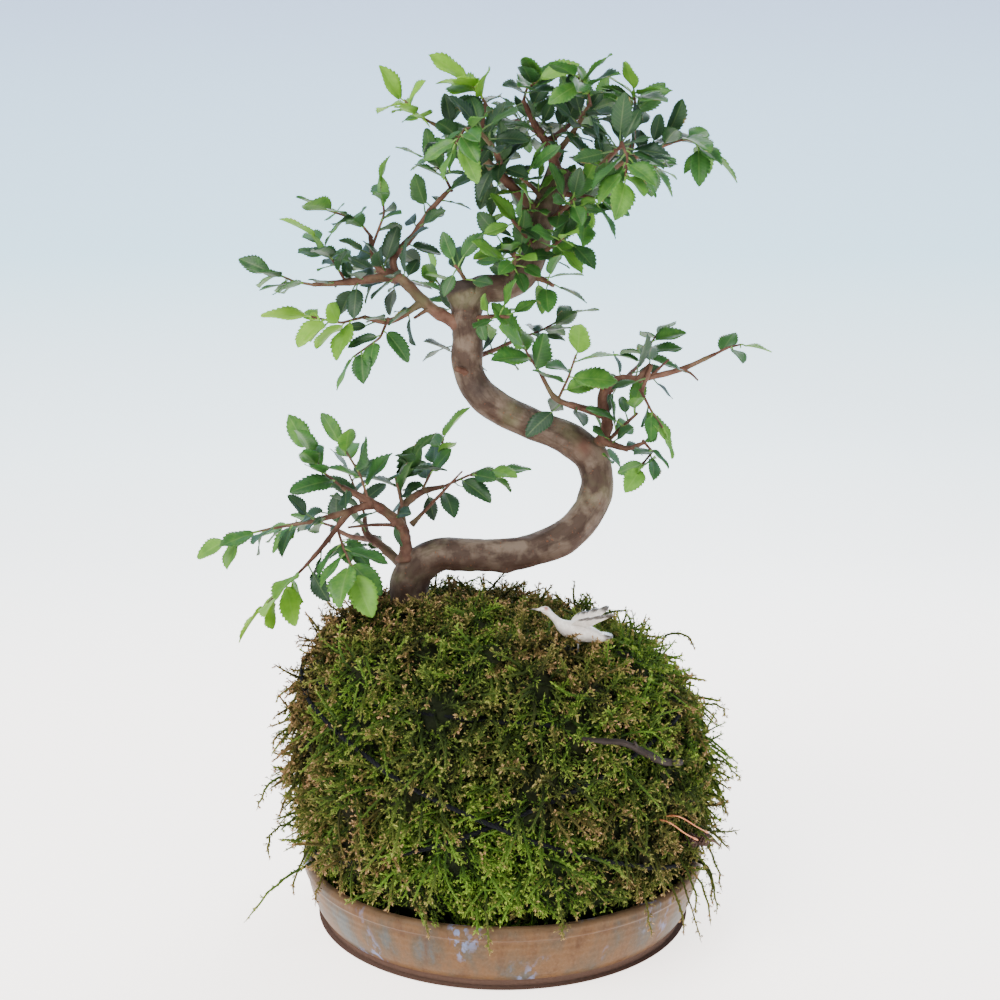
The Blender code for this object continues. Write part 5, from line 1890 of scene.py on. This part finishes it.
@dataclass(frozen=True)
class LeafShape:
    """Elm leaf: lopsided foot, toothed edge, sunken midrib and raised side veins."""

    teeth: int = 10
    half_cols: int = 3

    def add(self, parts: MeshParts, blade: BladeFrame, root: Array, tone: float,
            rng: Draws) -> None:
        """Add one leaf and its stalk.

        Args:
            parts: Where it goes.
            blade: Where it lies.
            root: Point of the stem its stalk leaves from.
            tone: From darkest to palest, 0 to 1.
            rng: Source of variation.
        """
        stalk = min(0.0022, blade.length * 0.16)
        long = blade.length - stalk * 0.6
        base = blade.foot + blade.along * stalk
        rows, cols = 3 * self.teeth + 1, 2 * self.half_cols + 1
        u, v = np.meshgrid(np.linspace(0, 1, rows), np.linspace(-1, 1, cols), indexing="ij")
        half = long * rng.uniform(0.265, 0.315) * np.sin(math.pi * np.clip(u, 0.004, 0.997) ** 0.92) ** 0.62
        half = half * (1 - 0.18 * u**3)
        skew = 1 + 0.10 * np.sign(v) * (1 - u) ** 2
        tooth = np.tile([0.0, 0.55, 1.0], self.teeth + 1)[:rows][:, None] * np.ones(cols)
        rim = np.abs(v) ** 5 * np.clip(u * 6, 0, 1) * np.clip((1 - u) * 8, 0, 1)
        x = long * (u + 0.024 * tooth * rim - 0.03 * (1 - u) * np.abs(v) ** 2)
        y = v * half * skew * (1 + 0.16 * (tooth - 0.35) * rim)
        fold = rng.uniform(0.05, 0.34)
        droop = rng.uniform(0.04, 0.30)
        wave = rng.uniform(0.015, 0.04)
        vein = np.abs((u * VEINS - np.abs(v) * VEIN_SLANT) % 1.0 - 0.5) * 2
        z = (
            np.abs(y) * fold - droop * long * u**2 * 0.8 + droop * 0.25 * long * u
            + wave * long * np.sin(u * 9 + v * 2 + rng.uniform(0, 6)) * np.abs(v) ** 2
            + 0.010 * long * (1 - vein**3) * np.clip(np.abs(v) * 3, 0, 1) * np.clip((1 - u) * 5, 0, 1)
            - 0.008 * long * bell(v, 0.16)
        )
        across = np.cross(blade.face, blade.along)
        world = base + x[..., None] * blade.along + y[..., None] * across + z[..., None] * blade.face
        world = world.reshape(-1, 3)
        grid = np.arange(rows * cols).reshape(rows, cols)
        quads = np.stack([grid[:-1, :-1], grid[1:, :-1], grid[1:, 1:], grid[:-1, 1:]], -1).reshape(-1, 4)
        low = world - blade.face * 0.00011
        under = quads[:, ::-1] + len(world)
        loop = np.concatenate([grid[0, ::-1], grid[1:, 0], grid[-1, 1:], grid[-2:0:-1, -1]])
        ahead = np.roll(loop, -1)
        wall = np.stack([loop, loop + len(world), ahead + len(world), ahead], 1)
        facts = np.stack([u.ravel(), v.ravel(), np.full(u.size, tone)], 1)
        parts.add(np.vstack([world, low]), np.vstack([quads, under, wall]), None,
                  blade=np.vstack([facts, facts]))
        bow = (root + base) / 2 + blade.face * 0.0002
        joint = base + blade.along * 0.0006 - blade.face * 0.0001
        stalk_path = curve_through(np.array([root, bow, joint]), 4)
        verts, quads, caps = sweep(stalk_path, np.linspace(0.00034, 0.00022, len(stalk_path)), 8)
        parts.add(verts, quads, caps, blade=np.tile([0.5, 0.0, 0.85], (len(verts), 1)))


@dataclass
class LeafyShoot:
    """Stem with alternate elm leaves, laid over the blades of its solid."""

    name: str
    steps: tuple[Point, ...]
    blades: list[BladeFrame]
    seed: int
    leaf: LeafShape = LeafShape()

    def build(self, finish: Material, slot: str, stem: MeshParts) -> None:
        """Make the leaves, and add the stem to the mesh of all stems.

        Args:
            finish: Material of the leaves.
            slot: Material slot of the leaves.
            stem: Mesh of all stems.
        """
        rng = np.random.default_rng(500 + self.seed)
        rows = np.array(self.steps, float) * MM
        lead = unit(rows[0] - rows[1]) * 0.0012
        knots = np.vstack([rows[0] + lead, rows])
        spans = [np.linspace(a, b, 8, endpoint=False) for a, b in zip(knots, knots[1:])]
        path = np.concatenate([*spans, rows[-1:]])
        kernel = np.array([0.25, 0.5, 0.25])
        inner = np.stack([np.convolve(path[:, c], kernel, "same") for c in range(3)], 1)
        path[1:-1] = inner[1:-1]
        radii = np.linspace(0.00060, 0.00034, len(path))
        verts, quads, caps = sweep(path, radii, 10)
        centre = middles(path, 10)
        skin, stain_and_shade = bark_facts(verts[:, 2], verts[:, 0] * 900, verts, centre, 0.0005)
        stem.add(verts, quads, caps, skin_at=skin, stain_and_shade=stain_and_shade, scar=np.zeros(len(verts)))
        leaves = MeshParts()
        for blade in self.blades:
            nearest_row = int(np.linalg.norm(path - blade.foot, axis=1).argmin())
            share = nearest_row / (len(path) - 1)
            tone = float(np.clip(0.14 + 0.55 * share**2 + rng.normal(0, 0.17), 0.02, 0.98))
            self.leaf.add(leaves, blade, path[nearest_row], tone, rng)
        present(leaves.build(self.name + "_leaves", finish), slot, self.name)


@dataclass
class SpurLeaves:
    """Leaves on short spurs along the branches, set where there is still room."""

    taken: list[Array]
    trunk: Array
    leaf: LeafShape = LeafShape()
    length: float = 0.0128

    def find_room(self, curve: Array, span: tuple[float, float],
                  rng: Draws) -> tuple[BladeFrame, Array] | None:
        """Look for a free place for a leaf along a limb.

        Args:
            curve: Middle line of the limb.
            span: Shares of the limb to stay between.
            rng: Source of variation.

        Returns:
            The blade and its root, or None if all tries are crowded.
        """
        best, best_room = None, 0.0032
        for _ in range(14):
            row = int(rng.uniform(*span) * (len(curve) - 1))
            tangent = unit(curve[min(row + 1, len(curve) - 1)] - curve[max(row - 1, 0)])
            ray = rng.normal(size=3) + np.array([0.0, -0.25, 0.15])
            ray = unit(ray - tangent * ray.dot(tangent))
            heading = unit(ray + tangent * rng.uniform(0.1, 0.9))
            foot = curve[row] + heading * rng.uniform(0.0010, 0.0035)
            along = unit(heading + rng.normal(0, 0.25, 3))
            face = unit(foot * np.array([1.0, 1.0, 0.0]) - np.array([0.005, 0.0, 0.0])) * 0.4
            face = face + np.array([rng.uniform(-0.5, 0.5), rng.uniform(-1.1, 0.2), 0.75])
            face = unit(face - along * face.dot(along))
            length = self.length * rng.uniform(0.62, 1.08)
            middle = foot + along * length * 0.55
            room = float(np.linalg.norm(np.array(self.taken) - middle, axis=1).min())
            wood = float(np.linalg.norm(self.trunk - middle, axis=1).min())
            if wood > 0.0085 and room > best_room:
                best, best_room = (BladeFrame(foot, along, face, length), curve[row], middle), room
        if best is None:
            return None
        self.taken.append(best[2])
        return best[0], best[1]

    def build(self, name: str, limbs: list[Array], spacing: float, finish: Material, slot: str,
              seed: int) -> None:
        """Set leaves along limbs.

        Args:
            name: Name of the piece.
            limbs: Knots of each limb, in metres.
            spacing: Length of limb for each leaf.
            finish: Leaf material.
            slot: Material slot.
            seed: Which arrangement.
        """
        rng = np.random.default_rng(seed)
        parts = MeshParts()
        for index, knots in enumerate(limbs):
            curve = curve_through(knots[:, :3], 9)
            length = float(np.linalg.norm(np.diff(curve, axis=0), axis=1).sum())
            span = (0.38, 1.0) if index == 0 and length > 0.02 else (0.15, 1.0)
            for _ in range(max(1, round(length * (span[1] - span[0]) / spacing))):
                found = self.find_room(curve, span, rng)
                if found is not None:
                    tone = float(np.clip(rng.normal(0.42, 0.26), 0.02, 0.98))
                    self.leaf.add(parts, found[0], found[1], tone, rng)
        if parts.count:
            present(parts.build(name, finish), slot)


# ------------------------------------------------------------------ small things
@dataclass
class Litter:
    """Dead twig, paired cones and two wiry moss stalks."""

    shape: BallShape

    def build_twig(self, finish: Material) -> None:
        """Dead twig lying in the moss.

        Args:
            finish: Dead bark material.
        """
        over = self.shape.over
        knots = np.array([
            (*over(0.052, 0.590, 0.0052), 0.0010), (*over(0.045, 0.615, 0.0064), 0.0011),
            (*over(0.040, 0.640, 0.0072), 0.0011), (*over(0.032, 0.690, 0.0086), 0.0009),
            (*over(0.026, 0.705, 0.0092), 0.0008), (*over(0.020, 0.720, 0.0098), 0.0005),
        ])
        parts = MeshParts()
        limb_parts(parts, knots, 16, 8, 301, 0.14, 0.1, 0.2)
        spur = np.array([(*over(0.036, 0.665, 0.0080), 0.0006), (*over(0.034, 0.690, 0.0098), 0.0004)])
        spur = np.vstack([spur[0], spur.mean(0), spur[1]])
        limb_parts(parts, spur, 10, 4, 311, 0.1, 0.3, 0.1)
        present(parts.build("dead_twig_wood", finish), "dead_wood", "dead_twig")

    def build_cones(self, finish: Material) -> None:
        """Two scaly brown cones on a short tail.

        Args:
            finish: Cone material.
        """
        first = self.shape.over(0.0555, 0.315, 0.0058)
        second = first + np.array([0.0041, 0.0010, 0.0002])
        parts = MeshParts()
        for seed, centre in ((1, first), (2, second)):
            seats = []
            count = 70
            for k in range(count):
                z = 1 - 2 * (k + 0.5) / count
                ring = math.sqrt(1 - z * z)
                out = np.array([ring * math.cos(k * 2.4), z, ring * math.sin(k * 2.4)])
                side = unit(np.cross(out, np.array([0.02, 1.0, 0.03])))
                lift = np.cross(side, out)
                seats.append((centre + out * 0.0022, side, lift, out))
            core = np.array([
                (math.cos(a) * math.sin(b), math.cos(b), math.sin(a) * math.sin(b))
                for b in np.linspace(0.02, math.pi - 0.02, 24) for a in turns(32)
            ])
            bumps = layered_noise(core * 3.0, 71 + seed, 3)
            body = centre + core * (0.00205 * (1 + 0.10 * bumps))[:, None]
            parts.add(body, tube_quads(24, 32)[:, ::-1])
            for at, side, lift, out in seats:
                size = 0.00052
                tip = at + out * 0.00042 - lift * 0.0004
                parts.add(np.array([
                    at - side * size, at - lift * size * 0.9, at + side * size, at + lift * size, tip,
                ]), None, np.array([(0, 1, 4), (1, 2, 4), (2, 3, 4), (3, 0, 4), (0, 3, 2), (0, 2, 1)]))
        bends = np.array([(0.0, 0.0, 0.0), (0.003, 0.0, -0.0006), (0.0055, 0.0, -0.0024)])
        tail = curve_through(second + bends, 6)
        verts, quads, caps = sweep(tail, np.linspace(0.0006, 0.0002, len(tail)), 8)
        parts.add(verts, quads, caps)
        foot = self.shape.over(0.0555, 0.315, 0.0006)
        stem = np.linspace(first, foot, 6)
        verts, quads, caps = sweep(stem, np.full(6, 0.0005), 8)
        parts.add(verts, quads, caps)
        present(parts.build("cone_pair_scales", finish), "cone", "cone_pair")

    def build_stalks(self, finish: Material) -> None:
        """Two wiry stalks arching out of the moss.

        Args:
            finish: Stalk material.
        """
        for name, x in (("moss_stalk_1", 0.0440), ("moss_stalk_2", 0.0480)):
            over = self.shape.over
            knots = np.array([over(x, 0.42, 0.0005), over(x + 0.001, 0.44, 0.0075),
                              over(x + 0.005, 0.39, 0.0105), over(x + 0.008, 0.355, 0.0115)])
            path = curve_through(knots, 12)
            radii = np.interp(np.linspace(0, 1, len(path)), (0, 0.86, 0.92, 1.0),
                              (0.00026, 0.00018, 0.00040, 0.00022))
            verts, quads, caps = sweep(path, radii, 10)
            parts = MeshParts()
            parts.add(verts, quads, caps)
            present(parts.build(name + "_wire", finish), "moss_stalk", name)


@dataclass
class Crane:
    """Small porcelain crane with fanned wings, on a wire pin."""

    centre: Array

    def build(self, china: Material, steel: Material) -> None:
        """Model the bird and its pin.

        Args:
            china: White glaze with inked tips.
            steel: Pin metal.
        """
        parts = MeshParts()
        body = np.array([
            (-15.2, 0, 7.10, 0.12), (-12.6, 0, 7.05, 0.45), (-11.6, 0, 7.05, 0.95), (-10.4, 0, 6.75, 1.35),
            (-9.4, 0, 5.95, 1.12), (-8.2, 0, 4.80, 1.10), (-6.8, 0, 3.40, 1.35), (-5.2, 0, 1.90, 2.10),
            (-3.0, 0, 0.70, 2.85), (0.0, 0, 0.0, 3.10), (3.2, 0, -0.80, 2.75), (6.2, 0, -1.60, 1.90),
            (8.6, 0, -2.05, 1.20), (10.8, 0, -1.95, 0.35),
        ]) * MM
        body[:, :3] += self.centre
        curve = curve_through(body, 6)
        verts, quads, caps = sweep(curve[:, :3], np.maximum(curve[:, 3], 0.0001), 28)
        local = (verts - self.centre) / MM
        ink = past(local[:, 0], 7.6, 2.0) + 0.9 * past(-local[:, 0], 12.6, 1.2)
        blush = np.exp(-(((local[:, 0] + 10.3) / 0.9) ** 2) - (((local[:, 2] - 7.6) / 0.7) ** 2))
        parts.add(verts, quads, caps, ink=np.clip(ink, 0, 0.92), blush=np.clip(blush, 0, 0.85))
        for flip in (-1.0, 1.0):
            for k in range(9):
                self.add_feather(parts, flip, k)
        for k in range(5):
            self.add_tail_feather(parts, k)
        present(parts.build("crane_figurine_china", china), "china", "crane_figurine")
        pin = np.linspace(self.centre + (0, 0, -0.0026), self.centre + (0, 0, -0.0072), 8)
        verts, quads, caps = sweep(pin, np.full(8, 0.0004), 16)
        rod = MeshParts()
        rod.add(verts, quads, caps)
        present(rod.build("crane_pin_wire", steel), "pin_steel", "crane_pin")

    def add_plate(self, parts: MeshParts, root: Array, along: Array, face: Array, length: float,
                  width: float, dark: float) -> None:
        """Add one thick rounded feather plate.

        Args:
            parts: Where it goes.
            root: Its foot.
            along: Its direction.
            face: Its upper side.
            length: Its length.
            width: Its half width.
            dark: Share of the length from which it is inked.
        """
        rings, sides = 16, 14
        across = np.cross(face, along)
        u, turn = np.meshgrid(np.linspace(0, 1, rings), turns(sides), indexing="ij")
        oval = np.sqrt(np.clip(1 - (2 * np.clip(u, 0.01, 0.99) - 1) ** 2, 0.02, 1))
        half = width * oval * (0.75 + 0.35 * u)
        x = u * length
        verts = (root + x[..., None] * along + (np.cos(turn) * half)[..., None] * across
                 + (np.sin(turn) * 0.00030 + 0.0004 * np.sin(u * 3.0))[..., None] * face).reshape(-1, 3)
        verts = np.vstack([verts, root, root + along * length + face * 0.00006])
        share = np.concatenate([u.ravel(), [0.0, 1.0]])
        ink = np.clip((share - dark) / 0.14, 0, 0.92)
        parts.add(verts, tube_quads(rings, sides), end_caps(rings, sides),
                  ink=ink, blush=np.zeros(len(verts)))

    def add_feather(self, parts: MeshParts, flip: float, k: int) -> None:
        """Add one of a wing's feathers.

        Args:
            parts: Where it goes.
            flip: Side of the bird, -1 or 1.
            k: Its place, from the front.
        """
        share = k / 8
        root = np.array([-2.6 + 4.6 * share, (1.3 + 0.6 * share) * flip, 1.5 - 0.1 * share])
        root = self.centre + root * MM
        tip = np.array([1.5 + 9.2 * share, (5.6 + 1.8 * share) * flip, 4.9 + 1.9 * share])
        tip = self.centre + tip * MM
        along = unit(tip - root)
        face = unit(np.cross(along, np.array([1.0, 0.15 * flip, 0.2])) * -flip)
        length = float(np.linalg.norm(tip - root)) * (1.0 + 0.06 * math.sin(k * 2.0))
        self.add_plate(parts, root, along, face, length, 0.0011, 0.66)

    def add_tail_feather(self, parts: MeshParts, k: int) -> None:
        """Add one of the tail feathers.

        Args:
            parts: Where it goes.
            k: Its place, from one side to the other.
        """
        turn = (k - 2) * 0.16
        root = self.centre + np.array([5.6, (k - 2) * 0.45, -1.0]) * MM
        along = unit(np.array([math.cos(turn), math.sin(turn), -0.10]))
        face = unit(np.array([0.10, 0.0, 1.0]))
        self.add_plate(parts, root, along, face, 0.0056, 0.0008, 0.45)


# ------------------------------------------------------------------ studio
@dataclass
class Studio:
    """Pale floor, soft lights and the camera."""

    eye: Point = (-0.001, -0.3833, 0.1719)
    pitch: float = 0.076
    lens: float = 39.6

    def build(self) -> None:
        """Set the stage."""
        self.build_floor()
        self.build_lights()
        camera = bpy.data.cameras.new("camera")
        camera.lens = self.lens
        camera.sensor_width = 36.0
        camera.clip_start = 0.01
        holder = bpy.data.objects.new("camera", camera)
        holder.location = self.eye
        holder.rotation_euler = (math.pi / 2 - self.pitch, 0.0, 0.0)
        bpy.context.scene.collection.objects.link(holder)
        bpy.context.scene.camera = holder

    def build_floor(self) -> None:
        """Floor that curves up into a backdrop."""
        outline = [(-3.0, -0.0003), (0.75, -0.0003)]
        for k in range(1, 17):
            turn = k / 16 * math.pi / 2
            outline.append((0.75 + 0.7 * math.sin(turn), 0.7 - 0.7 * math.cos(turn) - 0.0003))
        outline.append((1.45, 4.0))
        rows = np.array([[(x, y, z) for x in (-4.0, 4.0)] for y, z in outline], float)
        verts = rows.reshape(-1, 3)
        quads = np.array([(2 * k, 2 * k + 1, 2 * k + 3, 2 * k + 2) for k in range(len(outline) - 1)])
        shade = Shade("backdrop")
        _, y, z = shade.split(shade.place())
        height = shade.plus(z, shade.span(y, 0.0, 1.2, 0.0, 0.25))
        colour = shade.ramp(shade.span(height, 0.05, 1.10), (
            (0.0, (1.000, 0.930, 0.870)), (0.28, (0.760, 0.850, 0.880)),
            (0.6, (0.360, 0.550, 0.670)), (1.0, (0.245, 0.330, 0.470)),
        ))
        shade.feed(shade.skin.inputs["Emission Color"], colour)
        material = shade.wear(colour, 0.7, Emission_Strength=2.6)
        parts = MeshParts()
        parts.add(verts, quads)
        parts.build("backdrop", material)

    def build_lights(self) -> None:
        """Soft lights from above, the left and the front."""
        for name, place, aim, size, power, tint in (
            ("key", (-0.55, -0.55, 0.95), (0.0, 0.0, 0.13), 0.8, 21.0, (1.0, 0.97, 0.93)),
            ("fill", (0.95, -0.75, 0.45), (0.0, 0.0, 0.12), 1.0, 7.5, (0.94, 0.97, 1.0)),
            ("back", (0.25, 0.75, 0.85), (0.0, 0.0, 0.18), 0.7, 9.0, (0.98, 0.99, 1.0)),
        ):
            lamp = bpy.data.lights.new(name, "AREA")
            lamp.shape = "DISK"
            lamp.size = size
            lamp.energy = power
            lamp.color = tint
            holder = bpy.data.objects.new(name, lamp)
            holder.location = place
            holder.rotation_mode = "QUATERNION"
            holder.rotation_quaternion = (Vector(aim) - Vector(place)).to_track_quat("-Z", "Y")
            bpy.context.scene.collection.objects.link(holder)
        world = bpy.data.worlds.new("studio")
        world.use_nodes = True
        world.node_tree.nodes["Background"].inputs[0].default_value = (0.80, 0.88, 1.0, 1.0)
        world.node_tree.nodes["Background"].inputs[1].default_value = 0.45
        bpy.context.scene.world = world


def main() -> None:
    """Build every piece round the frame, then the studio."""
    logging.basicConfig(level=logging.INFO, format="%(name)s: %(message)s")
    for item in list(bpy.data.objects):
        bpy.data.objects.remove(item, do_unlink=True)
    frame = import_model()

    shape = BallShape()
    moss = MossFinish().make()
    bark = BarkFinish().make()
    twig_bark = BarkFinish("twig_bark", (0.062, 0.025, 0.015), (0.120, 0.062, 0.040), (0.022, 0.008, 0.005),
                           (0.080, 0.034, 0.022), (0.140, 0.040, 0.017)).make()
    dead_bark = BarkFinish("dead_bark", (0.022, 0.012, 0.009), (0.062, 0.038, 0.027), (0.010, 0.006, 0.005),
                           (0.030, 0.017, 0.012), (0.120, 0.050, 0.028), 0.0).make()
    soil = GrainFinish("soil", (0.020, 0.013, 0.008), (0.060, 0.038, 0.024), 500.0, (0.85, 0.98),
                       0.0006).make()
    frame["nodes"]["soil_core"].data.materials.clear()
    frame["nodes"]["soil_core"].data.materials.append(soil)

    Saucer().build(GlazeFinish().make())
    cord = CordBinding(shape)
    cord.build(GrainFinish("cord", (0.0025, 0.003, 0.004), (0.009, 0.010, 0.013), 3000.0, (0.82, 0.96),
                           gloss=0.12).make())
    ball = MossBall(shape, cord.all_paths(), cord.tops())
    ball.build_bed(moss)
    ball.build_fronds(moss)

    trunk = Trunk()
    trunk.build(bark)
    twiglets = trunk.build_twiglets(twig_bark)
    for index, (name, limbs) in enumerate(BRANCHES):
        Branch(name, limbs, 120 + 40 * index).build(twig_bark)
    leaves = {age: LeafFinish(age).make() for age in LeafAge}
    slots = {LeafAge.OLD: "leaf_dark", LeafAge.GROWN: "leaf_green", LeafAge.YOUNG: "leaf_young"}
    taken: list[Array] = []
    stems = MeshParts()
    for index, (steps, age) in enumerate(SHOOTS):
        name = f"shoot_{index + 1:02d}"
        blades = blades_of(frame["nodes"][name])
        taken.extend(blade.foot + blade.along * blade.length * 0.55 for blade in blades)
        grown = LeafAge(age)
        LeafyShoot(name, steps, blades, index).build(leaves[grown], slots[grown], stems)
    present(stems.build("leafy_stems", twig_bark), "twig_bark")
    LOG.info("leaves laid: %d", len(taken))
    spurs = SpurLeaves(taken, curve_through(np.array(TRUNK_STEPS, float) * MM, 6)[:, :3])
    for index, (name, limbs) in enumerate(BRANCHES):
        rows = [np.array(limb, float) * MM for limb in limbs]
        spurs.build(name + "_spur_leaves", rows, SPUR_SPACING[name] * MM, leaves[LeafAge.OLD],
                    slots[LeafAge.OLD], 700 + index)
    spurs.build("twiglet_leaves", twiglets[:15], 0.0019, leaves[LeafAge.GROWN], slots[LeafAge.GROWN], 730)
    LOG.info("leaves with spurs: %d", len(taken))

    litter = Litter(shape)
    litter.build_twig(dead_bark)
    litter.build_cones(GrainFinish("cone", (0.040, 0.016, 0.012), (0.110, 0.050, 0.034), 1500.0,
                                   (0.5, 0.8), 0.0002).make())
    litter.build_stalks(GrainFinish("moss_stalk", (0.420, 0.095, 0.030), (0.620, 0.230, 0.080), 900.0,
                                    (0.4, 0.6)).make())
    low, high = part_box("crane_figurine")
    centre = np.array([high.x - 0.0118, (low.y + high.y) / 2, high.z - 0.0075])
    china = GrainFinish("china", (0.640, 0.580, 0.520), (0.800, 0.750, 0.690), 700.0, (0.18, 0.32), 0.00004,
                        ink=(0.030, 0.026, 0.024), blush=(0.300, 0.060, 0.030), coat=0.4).make()
    steel = GrainFinish("pin_steel", (0.300, 0.300, 0.310), (0.420, 0.420, 0.430), 2400.0,
                        (0.25, 0.45), 0.00003, metallic=1.0).make()
    Crane(centre).build(china, steel)

    Studio().build()


if __name__ == "__main__":
    main()
